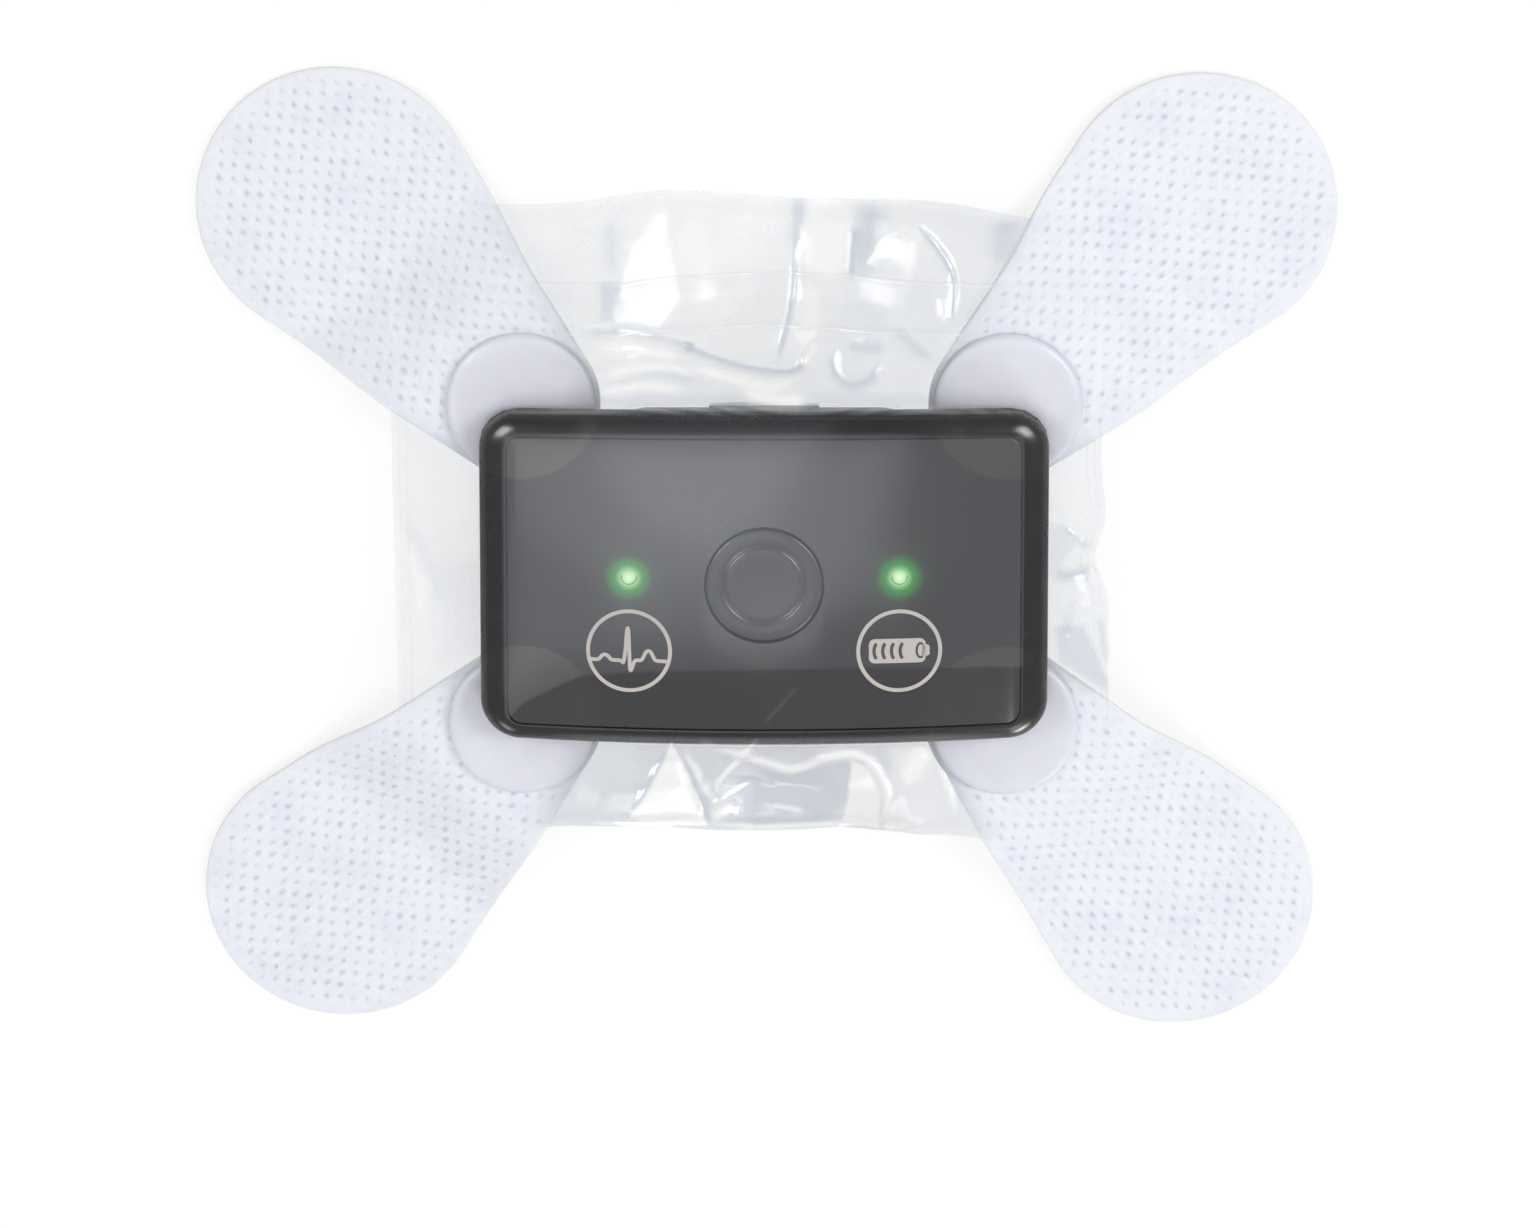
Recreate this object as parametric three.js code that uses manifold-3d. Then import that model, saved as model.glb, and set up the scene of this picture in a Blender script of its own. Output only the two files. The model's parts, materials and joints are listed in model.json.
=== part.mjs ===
// A chest-worn ECG recorder in a clear film pouch, carried by four electrodes on press studs.
// Lengths are in millimetres. X runs along the recorder, Y across it towards the charging
// port, and Z out of its front panel. It lies on its back, on a table at Z = 0.

import * as THREE from 'three';
import { mergeVertices } from 'three/addons/utils/BufferGeometryUtils.js';
import Module from 'manifold-3d';

// Housing, outside
const bodyHalfLength = 44;
const bodyHalfWidth = 26.4;
const bodyCornerRadius = 6;
const bodyBulge = 0.5;
const crownRise = 3.04;
const wingUnderside = 12.5;
const rimDepth = 4.4;
const frontDepth = 3.4;
const partingGap = 0.3;
const housingWall = 1.5;
const rimWidth = 2.4;
const rimLand = 0.5;
const bezelLength = 4.15;
const bezelWidth = 3.1;
const bezelLip = 0.1;
const panelCornerRadius = 2.2;
const lipHeight = 1.2;
const wingWall = 1.3;

// Deep block behind the middle of the housing
const wingLength = 20;
const blockSetback = 1.1;
const blockCornerRadius = 4;
const bellyDrop = 1;
const bellyInset = 7;
const bellyCornerRadius = 7;
const blockUnderside = 0.6;

// Gaps between pieces, and how far a cutting solid runs past what it cuts
const fitGap = 0.3;
const pressGap = 0.15;
const glueGap = 0.1;
const overrun = 1;
const mergeTolerance = 0.0001;

// Front label, and the lights that show through it
const labelThickness = 0.4;
const labelEdgeGap = 0.2;
const lightSpacing = 41.8;
const lightOffset = 1.05;
const lightRadius = 1.1;
const lightFlangeRadius = 1.9;
const lightFlangeThickness = 0.5;
const lampLength = 2;
const lampWidth = 1.4;
const lampHeight = 0.9;
const lampEdge = 0.15;

// Event key and the switch under it
const keyRadius = 9;
const keyEdge = 0.25;
const keyGrooveRadius = 6.2;
const keyGrooveWidth = 0.6;
const keyGrooveDepth = 0.2;
const keyFlangeWidth = 1.2;
const keyFlangeThickness = 0.6;
const keyStemRadius = 1.6;
const keyTravel = 0.5;
const switchWidth = 5;
const switchHeight = 0.9;
const switchEdge = 0.2;
const plungerRadius = 1.2;
const plungerHeight = 0.4;

// Gasket in the rim of the back shell
const gasketInset = 0.9;
const gasketWidth = 0.6;
const grooveDepth = 0.6;

// Housing screws, set from behind
const screwInset = 5.5;
const screwSpacingWidth = 16;
const screwRadius = 0.9;
const screwHeadRadius = 1.8;
const screwHeadHeight = 1.1;
const screwPointHeight = 0.5;
const screwBossRadius = 2.3;

// Circuit boards and what stands on them
const boardRoom = 0.5;
const boardThickness = 1;
const boardEndMargin = 6;
const boardSideMargin = 3.8;
const boardCornerRadius = 3;
const connectorHeight = 5.3;
const chargeBoardThickness = 0.8;
const chargeBoardEndMargin = 4;
const chargeBoardSideMargin = 3.9;
const chargeBoardCornerRadius = 2;
const connectorLength = 16;
const connectorWidth = 4;
const connectorOffset = -12;
const chipEdge = 0.2;
const processorWidth = 7;
const processorHeight = 0.9;
const processorX = -11;
const processorY = -13;
const memoryLength = 6;
const memoryWidth = 5;
const memoryHeight = 0.8;
const memoryX = 12;
const memoryY = 14;

// Battery cell, with its two sealed side flaps
const batteryEndMargin = 6.2;
const batterySideMargin = 6.9;
const batteryRoom = 0.3;
const batteryCornerRadius = 3.5;
const batteryEdge = 1.2;

// Charging socket, the port in the wall and the cover over it
const socketWidth = 8.9;
const socketHeight = 3.2;
const socketDepth = 7;
const socketWall = 0.3;
const socketCornerRadius = 1.4;
const socketBackWall = 0.8;
const socketTongueWidth = 6.6;
const socketTongueHeight = 0.7;
const socketTongueSetback = 0.6;
const portMargin = 0.35;
const coverWidth = 17;
const coverBelowPort = 2.3;
const coverAbovePort = 2.6;
const coverThickness = 1;
const coverCornerRadius = 1;
const coverRecess = 0.7;
const coverPlugDepth = 0.8;
const coverPlugMargin = 0.5;
const hingeRadius = 0.6;
const hingeBelowCover = 0.4;
const hingeOffset = 0.5;
const hingeLength = 12;

// Snap joints between the wings and the electrodes
const snapEndInset = 10.9;
const snapSideInset = 5.2;
const bossRadius = 3.8;
const bossDrop = 0.5;
const snapSocketRadius = 2.6;
const snapSocketWall = 0.4;
const snapClearance = 0.25;
const snapRoom = 1.1;
const studBeadRise = 0.3;
const studBeadHeight = 0.4;
const studTipRise = 0.5;
const studTipRadius = 1.3;
const studNeckRadius = 1.45;
const studFlangeRadius = 3.7;
const studFlangeThickness = 0.3;
const eyeletPostRadius = 1.1;
const eyeletFlangeRadius = 1.9;
const eyeletFlangeThickness = 0.15;

// One electrode, with places measured along the flat sheet from its stud
const discRadius = 11.6;
const discThickness = 1.6;
const discEdge = 0.5;
const discOffset = 6.5;
const narrowRadius = 12.3;
const broadRadius = 21.6;
const broadOffset = 49.3;
const backingThickness = 1;
const leadWidth = 5;
const leadThickness = 0.2;
const channelDepth = 0.4;
const channelMargin = 0.3;
const gelRadius = 13;
const gelThickness = 0.45;
const linerThickness = 0.2;
const linerMargin = 0.3;
const linerStart = 39.5;

// How an electrode bends down from the recorder to the table, and the way each one points
const bendStart = 18.6;
const bendRadius = 14;
const bendDegrees = 26;
const restDegrees = 3;
const upperRightDegrees = 45.2;
const upperLeftDegrees = 133.4;
const lowerLeftDegrees = 226.5;
const lowerRightDegrees = 311.2;
const swivelOutDegrees = 12;
const swivelInDegrees = 5;

// Clear film pouch and the strip that closes it
const filmThickness = 0.3;
const filmEdgeHeight = 2.6;
const filmPastDisc = 7.8;
const filmConeShare = 0.38;
const filmSpread = 6.2;
const filmFallShare = 0.42;
const filmRoom = 0.7;
const filmDrapePower = 2.2;
const filmRimRise = 0.2;
const filmMiddleShare = 0.25;
const pouchPastLeft = 13.6;
const pouchPastRight = 9.6;
const pouchPastUpperLeft = 30.7;
const pouchPastUpperRight = 28.5;
const pouchPastLowerLeft = 18.7;
const pouchPastLowerRight = 20.2;
const pouchUpperBulge = 1.8;
const pouchCornerShare = 0.03;
const filmHoleRadius = 2.3;
const stripPastBody = 10.3;
const stripWidth = 6.7;
const stripThickness = 0.3;
const stripMargin = 1.5;
const stripLift = 0.35;

// How finely curves are cut
const sideSteps = 2;
const cornerSteps = 4;
const lengthSteps = 4;
const roundSteps = 28;
const bossSteps = 18;
const smallRoundSteps = 12;
const discSteps = 24;
const bendSteps = 6;
const narrowSteps = 5;
const broadSteps = 9;
const gelSteps = 11;
const linerSteps = 9;
const stripSteps = 18;
const swivelSteps = 8;

// Derived places
const quarterTurn = Math.PI / 2;
const partingHeight = wingUnderside + rimDepth;
const frontHeight = partingHeight + frontDepth;
const crownRadius = (bodyHalfLength ** 2 + crownRise ** 2) / (2 * crownRise);
const blockHalfLength = bodyHalfLength - wingLength;
const blockHalfWidth = bodyHalfWidth - blockSetback;
const bellyStart = wingUnderside - bellyDrop;
const ceilingHeight = frontHeight - labelThickness - glueGap - housingWall;
const bezelBase = partingHeight + rimLand;
const bezelRise = frontHeight + bezelLip - bezelBase;
const wingFloor = wingUnderside + wingWall;
const boardBase = wingFloor + boardRoom;
const boardTop = boardBase + boardThickness;
const boardHalfLength = bodyHalfLength - boardEndMargin;
const boardHalfWidth = bodyHalfWidth - boardSideMargin;
const chargeBoardTop = boardBase - connectorHeight;
const chargeBoardBase = chargeBoardTop - chargeBoardThickness;
const chargeBoardHalfLength = blockHalfLength - chargeBoardEndMargin;
const chargeBoardHalfWidth = blockHalfWidth - chargeBoardSideMargin;
const batteryBase = blockUnderside + housingWall + batteryRoom;
const batteryTop = chargeBoardBase - batteryRoom;
const batteryHalfLength = blockHalfLength - batteryEndMargin;
const batteryHalfWidth = blockHalfWidth - batterySideMargin;
const portHeight = chargeBoardTop + socketHeight / 2;
const coverBase = portHeight - coverBelowPort;
const coverTop = portHeight + coverAbovePort;
const hingeHeight = coverBase - hingeBelowCover;
const screwSpacingLength = 2 * (bodyHalfLength - screwInset);
const snapSpacingLength = 2 * (bodyHalfLength - snapEndInset);
const snapSpacingWidth = 2 * (bodyHalfWidth - snapSideInset);
const bossUnderside = wingUnderside - bossDrop;
const discTop = bossUnderside - snapRoom;
const sheetHeight = discTop - discThickness - glueGap - backingThickness / 2;
const lipBelow = partingGap + lipHeight;
const recessPlane = blockHalfWidth - coverRecess;
const pouchLeft = -bodyHalfLength - pouchPastLeft;
const pouchRight = bodyHalfLength + pouchPastRight;
const pouchUpperLeft = bodyHalfWidth + pouchPastUpperLeft;
const pouchUpperRight = bodyHalfWidth + pouchPastUpperRight;
const pouchLowerLeft = -bodyHalfWidth - pouchPastLowerLeft;
const pouchLowerRight = -bodyHalfWidth - pouchPastLowerRight;
const stripBase = bodyHalfWidth + stripPastBody;
const stripTop = stripBase + stripWidth;

// Electrodes: name, which corner of the recorder, and the direction in degrees
const electrodes = [
  { name: 'upper_right', sideX: 1, sideY: 1, degrees: upperRightDegrees },
  { name: 'upper_left', sideX: -1, sideY: 1, degrees: upperLeftDegrees },
  { name: 'lower_left', sideX: -1, sideY: -1, degrees: lowerLeftDegrees },
  { name: 'lower_right', sideX: 1, sideY: -1, degrees: lowerRightDegrees },
];

const materials = {
  shell: { color: 0x2b2a2c, roughness: 0.35, metalness: 0 },
  label: { color: 0x4a494c, roughness: 0.3, metalness: 0 },
  key: { color: 0x454447, roughness: 0.35, metalness: 0 },
  seal: { color: 0x1c1c1e, roughness: 0.8, metalness: 0 },
  board: { color: 0x1f5a3a, roughness: 0.5, metalness: 0 },
  chip: { color: 0x1a1a1c, roughness: 0.5, metalness: 0 },
  cell: { color: 0xb9bcc2, roughness: 0.4, metalness: 0.6 },
  steel: { color: 0xc4c6ca, roughness: 0.3, metalness: 1 },
  light: { color: 0x8df0a0, roughness: 0.2, metalness: 0 },
  fabric: { color: 0xf0f1fa, roughness: 0.9, metalness: 0 },
  disc: { color: 0xdfe2f2, roughness: 0.4, metalness: 0 },
  lead: { color: 0x3a3a3e, roughness: 0.6, metalness: 0.2 },
  gel: { color: 0xd6e6ee, roughness: 0.1, metalness: 0 },
  film: { color: 0xe2e8ef, roughness: 0.1, metalness: 0, transparent: true, opacity: 0.35 },
};

const wasm = await Module();
wasm.setup();

function radians(degrees) {
  return (degrees * Math.PI) / 180;
}

// Meshes and solids

// Merges equal corners, drops faces that have no area and turns the mesh to face out.
function tidy(source) {
  const bare = source.clone();
  bare.deleteAttribute('normal');
  bare.deleteAttribute('uv');
  const merged = mergeVertices(bare, mergeTolerance);
  const corners = merged.index.array;
  const place = merged.attributes.position;
  const kept = [];
  let volume = 0;
  const [a, b, c] = [new THREE.Vector3(), new THREE.Vector3(), new THREE.Vector3()];
  for (let i = 0; i < corners.length; i += 3) {
    const [p, q, r] = [corners[i], corners[i + 1], corners[i + 2]];
    if (p === q || q === r || r === p) continue;
    kept.push(p, q, r);
    a.fromBufferAttribute(place, p);
    b.fromBufferAttribute(place, q);
    c.fromBufferAttribute(place, r);
    volume += a.dot(b.cross(c));
  }
  merged.setIndex(volume < 0 ? kept.reverse() : kept);
  return merged;
}

function fromLists(points, triangles) {
  const geometry = new THREE.BufferGeometry();
  geometry.setAttribute('position', new THREE.Float32BufferAttribute(points.flat(), 3));
  geometry.setIndex(triangles.flat());
  return tidy(geometry);
}

function toSolid(geometry) {
  const clean = tidy(geometry);
  return new wasm.Manifold(new wasm.Mesh({
    numProp: 3,
    vertProperties: new Float32Array(clean.attributes.position.array),
    triVerts: new Uint32Array(clean.index.array),
  }));
}

function fromSolid(solid) {
  const mesh = solid.getMesh();
  const geometry = new THREE.BufferGeometry();
  geometry.setAttribute('position', new THREE.BufferAttribute(new Float32Array(mesh.vertProperties), 3));
  geometry.setIndex(Array.from(mesh.triVerts));
  return geometry;
}

// Starts from one geometry, joins those in the second list and cuts away those in the third.
function shape(base, joined, cut) {
  let solid = toSolid(base);
  for (const piece of joined) solid = solid.add(toSolid(piece));
  for (const piece of cut) solid = solid.subtract(toSolid(piece));
  return fromSolid(solid);
}

// Basic forms

function post(radius, low, high, x, y, steps, topRadius = radius) {
  const geometry = new THREE.CylinderGeometry(topRadius, radius, high - low, steps);
  geometry.rotateX(quarterTurn);
  return geometry.translate(x, y, (low + high) / 2);
}

// Revolves pairs of radius and height about the vertical through x, y.
function turned(profile, x, y, steps) {
  const geometry = new THREE.LatheGeometry(profile.map(([r, z]) => new THREE.Vector2(r, z)), steps);
  geometry.rotateX(quarterTurn);
  return geometry.translate(x, y, 0);
}

function roundedShape(halfX, halfY, radius) {
  const outline = new THREE.Shape();
  outline.absarc(halfX - radius, halfY - radius, radius, 0, quarterTurn);
  outline.absarc(radius - halfX, halfY - radius, radius, quarterTurn, 2 * quarterTurn);
  outline.absarc(radius - halfX, radius - halfY, radius, 2 * quarterTurn, 3 * quarterTurn);
  outline.absarc(halfX - radius, radius - halfY, radius, 3 * quarterTurn, 4 * quarterTurn);
  outline.closePath();
  return outline;
}

function slab(outline, low, high) {
  const options = { depth: high - low, bevelEnabled: false, curveSegments: cornerSteps };
  return new THREE.ExtrudeGeometry(outline, options).translate(0, 0, low);
}

// A flat outline drawn in X and Z, and run from one Y to another.
function wallSlab(outline, height, fromY, toY) {
  const geometry = slab(outline, -toY, -fromY);
  geometry.rotateX(quarterTurn);
  return geometry.translate(0, 0, height);
}

// A moulded block with chamfered upper and lower edges.
function moulded(halfX, halfY, low, high, edge, x, y) {
  const outline = new THREE.Shape();
  outline.moveTo(edge - halfX, edge - halfY);
  outline.lineTo(halfX - edge, edge - halfY);
  outline.lineTo(halfX - edge, halfY - edge);
  outline.lineTo(edge - halfX, halfY - edge);
  outline.closePath();
  const geometry = new THREE.ExtrudeGeometry(outline, {
    depth: high - low - 2 * edge,
    bevelThickness: edge,
    bevelSize: edge,
    bevelSegments: 1,
  });
  return geometry.translate(x, y, low + edge);
}

// Rings and lofts

// A ring round a rectangle with round corners. Every ring has as many points, whatever its
// size, and its halves mirror each other, so rings loft and close with straight strips.
function ring(halfX, halfY, radius, bulge, heightAt) {
  const quarter = [];
  for (let i = 0; i < sideSteps; i += 1) {
    quarter.push([halfX, ((halfY - radius) * i) / sideSteps]);
  }
  for (let i = 0; i < cornerSteps; i += 1) {
    const turn = (quarterTurn * i) / cornerSteps;
    quarter.push([halfX - radius + radius * Math.cos(turn), halfY - radius + radius * Math.sin(turn)]);
  }
  for (let i = 0; i <= lengthSteps; i += 1) {
    quarter.push([(halfX - radius) * (1 - i / lengthSteps), halfY]);
  }
  const bulged = quarter.map(([x, y]) => [x, y + (y / halfY) * bulge * (1 - (x / halfX) ** 2)]);
  const upper = [...bulged, ...bulged.slice(0, -1).reverse().map(([x, y]) => [-x, y])];
  const lower = upper.slice(1, -1).reverse().map(([x, y]) => [x, -y]);
  return [...upper, ...lower].map(([x, y]) => [x, y, heightAt(x, y)]);
}

function capTriangles(count, first, facesUp) {
  const triangles = [];
  for (let i = 0; i < count / 2; i += 1) {
    const [a, b, c, d] = [i, i + 1, count - i - 1, (count - i) % count].map((n) => first + n);
    triangles.push(...(facesUp ? [[a, b, c], [a, c, d]] : [[a, c, b], [a, d, c]]));
  }
  return triangles;
}

function bandTriangles(count, lower, upper) {
  const triangles = [];
  for (let i = 0; i < count; i += 1) {
    const next = (i + 1) % count;
    triangles.push([lower + i, lower + next, upper + next], [lower + i, upper + next, upper + i]);
  }
  return triangles;
}

function loft(rings) {
  const count = rings[0].length;
  const triangles = capTriangles(count, 0, false);
  for (let k = 0; k + 1 < rings.length; k += 1) {
    triangles.push(...bandTriangles(count, k * count, (k + 1) * count));
  }
  triangles.push(...capTriangles(count, (rings.length - 1) * count, true));
  return fromLists(rings.flat(), triangles);
}

// How far a front that is crowned across its length has fallen at x.
function crownDrop(x) {
  return crownRadius - Math.sqrt(crownRadius ** 2 - x ** 2);
}

// A ring of the housing's outline, drawn in by an inset, at a height under the crown.
function bodyRing(insetX, insetY, radius, height) {
  const heightAt = (x) => height - crownDrop(x);
  return ring(bodyHalfLength - insetX, bodyHalfWidth - insetY, radius, bodyBulge, heightAt);
}

// A ring on the rounded bezel: no turn is at its foot, a quarter turn at the panel's edge.
function bezelRing(turn, offset) {
  const inward = 1 - Math.cos(turn);
  const out = offset * Math.cos(turn);
  const radius = bodyCornerRadius - (bodyCornerRadius - panelCornerRadius) * inward + out;
  const height = bezelBase + (bezelRise + offset) * Math.sin(turn);
  return bodyRing(bezelLength * inward - out, bezelWidth * inward - out, radius, height);
}

// A ring on the rounded belly: no turn is at the wall's foot, a quarter turn at the floor.
function bellyRing(turn, offset) {
  const fall = bellyStart - blockUnderside;
  const steep = Math.hypot(fall * Math.cos(turn), bellyInset * Math.sin(turn));
  const out = (offset * fall * Math.cos(turn)) / steep;
  const down = (offset * bellyInset * Math.sin(turn)) / steep;
  const inward = 1 - Math.cos(turn);
  const inset = bellyInset * inward - out;
  const radius = blockCornerRadius + (bellyCornerRadius - blockCornerRadius) * inward + out;
  const height = bellyStart - fall * Math.sin(turn) - down;
  return ring(blockHalfLength - inset, blockHalfWidth - inset, radius, 0, () => height);
}

function flatRing(halfX, halfY, radius, height) {
  return ring(halfX, halfY, radius, 0, () => height);
}

// Housing

const keyHole = post(keyRadius + fitGap, ceilingHeight - overrun, frontHeight + overrun, 0, 0, roundSteps);
const lightHoles = [-1, 1].map((side) => post(
  lightRadius + pressGap,
  ceilingHeight - crownDrop(lightSpacing) - overrun,
  frontHeight + overrun,
  (side * lightSpacing) / 2,
  lightOffset,
  smallRoundSteps,
));

function corners(spacingX, spacingY) {
  return electrodes.map(({ sideX, sideY }) => [(sideX * spacingX) / 2, (sideY * spacingY) / 2]);
}

const screwPlaces = corners(screwSpacingLength, screwSpacingWidth);
const snapPlaces = corners(snapSpacingLength, snapSpacingWidth);
const screwCeiling = ceilingHeight - crownDrop(screwSpacingLength / 2);
const screwBossTop = screwCeiling + housingWall / 2;
const screwTip = screwBossTop - 2 * fitGap;

function frontShell() {
  const panelFloor = frontHeight - labelThickness - glueGap;
  const turnShares = [0, 0.28, 0.55, 0.8, 1];
  const outside = loft([
    bodyRing(0, 0, bodyCornerRadius, partingHeight),
    ...turnShares.map((share) => bezelRing(share * quarterTurn, 0)),
    bodyRing(bezelLength, bezelWidth, panelCornerRadius, panelFloor),
  ]);
  const shoulder = rimWidth + (bezelLength - rimWidth) / 2;
  const inside = loft([
    bodyRing(rimWidth, rimWidth, bodyCornerRadius - rimWidth, partingHeight - overrun),
    bodyRing(rimWidth, rimWidth, bodyCornerRadius - rimWidth, partingHeight),
    bodyRing(shoulder, shoulder, panelCornerRadius, ceilingHeight - housingWall / 2),
    bodyRing(bezelLength, bezelLength, panelCornerRadius, ceilingHeight),
  ]);
  const bossFoot = wingFloor + fitGap;
  const bosses = screwPlaces.map(([x, y]) => (
    post(screwBossRadius, bossFoot, screwBossTop, x, y, smallRoundSteps)));
  const pilots = screwPlaces.map(([x, y]) => (
    post(screwRadius + pressGap, bossFoot - overrun, screwBossTop - fitGap, x, y, smallRoundSteps)));
  const hollow = shape(outside, [], [inside]);
  return shape(hollow, bosses, [...pilots, keyHole, ...lightHoles]);
}

function frontLabel() {
  const insetX = bezelLength + labelEdgeGap;
  const insetY = bezelWidth + labelEdgeGap;
  const body = loft([
    bodyRing(insetX, insetY, panelCornerRadius, frontHeight - labelThickness),
    bodyRing(insetX, insetY, panelCornerRadius, frontHeight),
  ]);
  return shape(body, [], [keyHole, ...lightHoles]);
}

// A closed band that follows the rim, between two insets and two heights under the crown.
function rimBand(inset, width, low, high) {
  const outer = loft([low, high].map((height) => (
    bodyRing(inset, inset, bodyCornerRadius - inset, height))));
  const within = inset + width;
  const inner = loft([low - overrun, high + overrun].map((height) => (
    bodyRing(within, within, bodyCornerRadius - within, height))));
  return shape(outer, [], [inner]);
}

function sealGasket() {
  const top = partingHeight - glueGap;
  return rimBand(gasketInset, gasketWidth, partingHeight - partingGap - grooveDepth + glueGap, top);
}

// The port's outline in the wall, grown by a margin.
function portShape(margin) {
  return roundedShape(socketWidth / 2 + margin, socketHeight / 2 + margin, socketCornerRadius + margin);
}

function backShell() {
  const rimTop = partingHeight - partingGap;
  const flat = (height) => () => height;
  const foot = ring(
    bodyHalfLength - rimWidth,
    bodyHalfWidth - rimWidth,
    bodyCornerRadius - rimWidth,
    bodyBulge,
    flat(wingUnderside),
  );
  const plate = loft([
    foot,
    bodyRing(0, 0, bodyCornerRadius, partingHeight - lipBelow),
    bodyRing(0, 0, bodyCornerRadius, rimTop),
  ]);
  const turnShares = [1, 0.68, 0.36, 0];
  const block = loft([
    ...turnShares.map((share) => bellyRing(share * quarterTurn, 0)),
    flatRing(blockHalfLength, blockHalfWidth, blockCornerRadius, wingFloor),
  ]);
  const insideRadius = bodyCornerRadius - rimWidth;
  const wingSpace = loft([
    ring(bodyHalfLength - rimWidth, bodyHalfWidth - rimWidth, insideRadius, bodyBulge, flat(wingFloor)),
    bodyRing(rimWidth, rimWidth, insideRadius, partingHeight + overrun),
  ]);
  const spaceShares = [1, 0.5];
  const blockSpace = loft([
    ...spaceShares.map((share) => bellyRing(share * quarterTurn, -housingWall)),
    flatRing(
      blockHalfLength - housingWall,
      blockHalfWidth - housingWall,
      blockCornerRadius - housingWall,
      wingFloor + overrun,
    ),
  ]);
  const bosses = snapPlaces.map(([x, y]) => (
    post(bossRadius, bossUnderside, boardBase - fitGap, x, y, bossSteps)));
  const seats = snapPlaces.map(([x, y]) => (
    post(snapSocketRadius + pressGap, bossUnderside - overrun, boardBase, x, y, bossSteps)));
  const clearance = screwRadius + fitGap;
  const screwHoles = screwPlaces.flatMap(([x, y]) => [
    post(clearance, wingUnderside - overrun, wingFloor + overrun, x, y, smallRoundSteps),
    post(
      screwHeadRadius + pressGap,
      wingUnderside - glueGap,
      wingUnderside + screwHeadHeight,
      x,
      y,
      smallRoundSteps,
      clearance,
    ),
  ]);
  const groove = rimBand(
    gasketInset - pressGap,
    gasketWidth + 2 * pressGap,
    rimTop - grooveDepth,
    rimTop + overrun,
  );
  const port = wallSlab(portShape(portMargin), portHeight, recessPlane - 2 * overrun, recessPlane + overrun);
  const recess = wallSlab(
    roundedShape(
      coverWidth / 2 + fitGap,
      (coverTop - hingeHeight) / 2 + fitGap,
      coverCornerRadius + fitGap,
    ),
    (coverTop + hingeHeight) / 2,
    recessPlane,
    blockHalfWidth + overrun,
  );
  const whole = shape(plate, [block], [wingSpace, blockSpace]);
  const joined = shape(whole, bosses, [...seats, ...screwHoles, groove, port, recess]);
  return shape(joined, [], [hingeRod(hingeRadius + snapClearance, hingeLength + 2 * fitGap)]);
}

function hingeRod(radius, length) {
  const geometry = new THREE.CylinderGeometry(radius, radius, length, smallRoundSteps);
  geometry.rotateZ(quarterTurn);
  return geometry.translate(0, recessPlane + hingeOffset, hingeHeight);
}

// The cover's leaf closes the recess, its plug fills the port and its rod turns in the groove.
function portCover() {
  const inner = recessPlane + pressGap;
  const outer = inner + coverThickness;
  const leaf = wallSlab(
    roundedShape(coverWidth / 2, (coverTop - coverBase) / 2, coverCornerRadius),
    (coverTop + coverBase) / 2,
    inner,
    outer,
  );
  const tab = wallSlab(
    roundedShape(hingeLength / 2, (coverBase + coverCornerRadius - hingeHeight) / 2, hingeRadius / 2),
    (coverBase + coverCornerRadius + hingeHeight) / 2,
    inner,
    outer,
  );
  const plug = wallSlab(portShape(portMargin - coverPlugMargin), portHeight, inner - coverPlugDepth, outer);
  return shape(leaf, [tab, plug, hingeRod(hingeRadius, hingeLength)], []);
}

// Inside the housing

function mainBoard() {
  const notches = screwPlaces.map(([x, y]) => (
    post(screwBossRadius + fitGap, boardBase - overrun, boardTop + overrun, x, y, smallRoundSteps)));
  const board = slab(roundedShape(boardHalfLength, boardHalfWidth, boardCornerRadius), boardBase, boardTop);
  return shape(board, [], notches);
}

function chargeBoard() {
  const outline = roundedShape(chargeBoardHalfLength, chargeBoardHalfWidth, chargeBoardCornerRadius);
  return slab(outline, chargeBoardBase, chargeBoardTop);
}

function batteryCell() {
  const narrowX = batteryHalfLength - batteryEdge;
  const narrowY = batteryHalfWidth - batteryEdge;
  return loft([
    flatRing(narrowX, narrowY, batteryCornerRadius, batteryBase),
    flatRing(batteryHalfLength, batteryHalfWidth, batteryCornerRadius, batteryBase + batteryEdge),
    flatRing(batteryHalfLength, batteryHalfWidth, batteryCornerRadius, batteryTop - batteryEdge),
    flatRing(narrowX, narrowY, batteryCornerRadius, batteryTop),
  ]);
}

// A folded metal shroud, closed behind, with a contact tongue in its mouth.
function chargingSocket() {
  const mouth = blockHalfWidth - housingWall - glueGap;
  const back = mouth - socketDepth;
  const shroud = wallSlab(portShape(0), portHeight, back, mouth);
  const bore = wallSlab(portShape(-socketWall), portHeight, back + socketBackWall, mouth + overrun);
  const tongue = wallSlab(
    roundedShape(socketTongueWidth / 2, socketTongueHeight / 2, socketTongueHeight / 4),
    portHeight,
    back + socketBackWall / 2,
    mouth - socketTongueSetback,
  );
  return shape(shape(shroud, [], [bore]), [tongue], []);
}

function eventSwitch() {
  const bodyTop = boardTop + switchHeight;
  const half = switchWidth / 2;
  const body = moulded(half, half, boardTop, bodyTop, switchEdge, 0, 0);
  const plunger = post(plungerRadius, bodyTop - switchEdge, bodyTop + plungerHeight, 0, 0, smallRoundSteps);
  return shape(body, [plunger], []);
}

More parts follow.
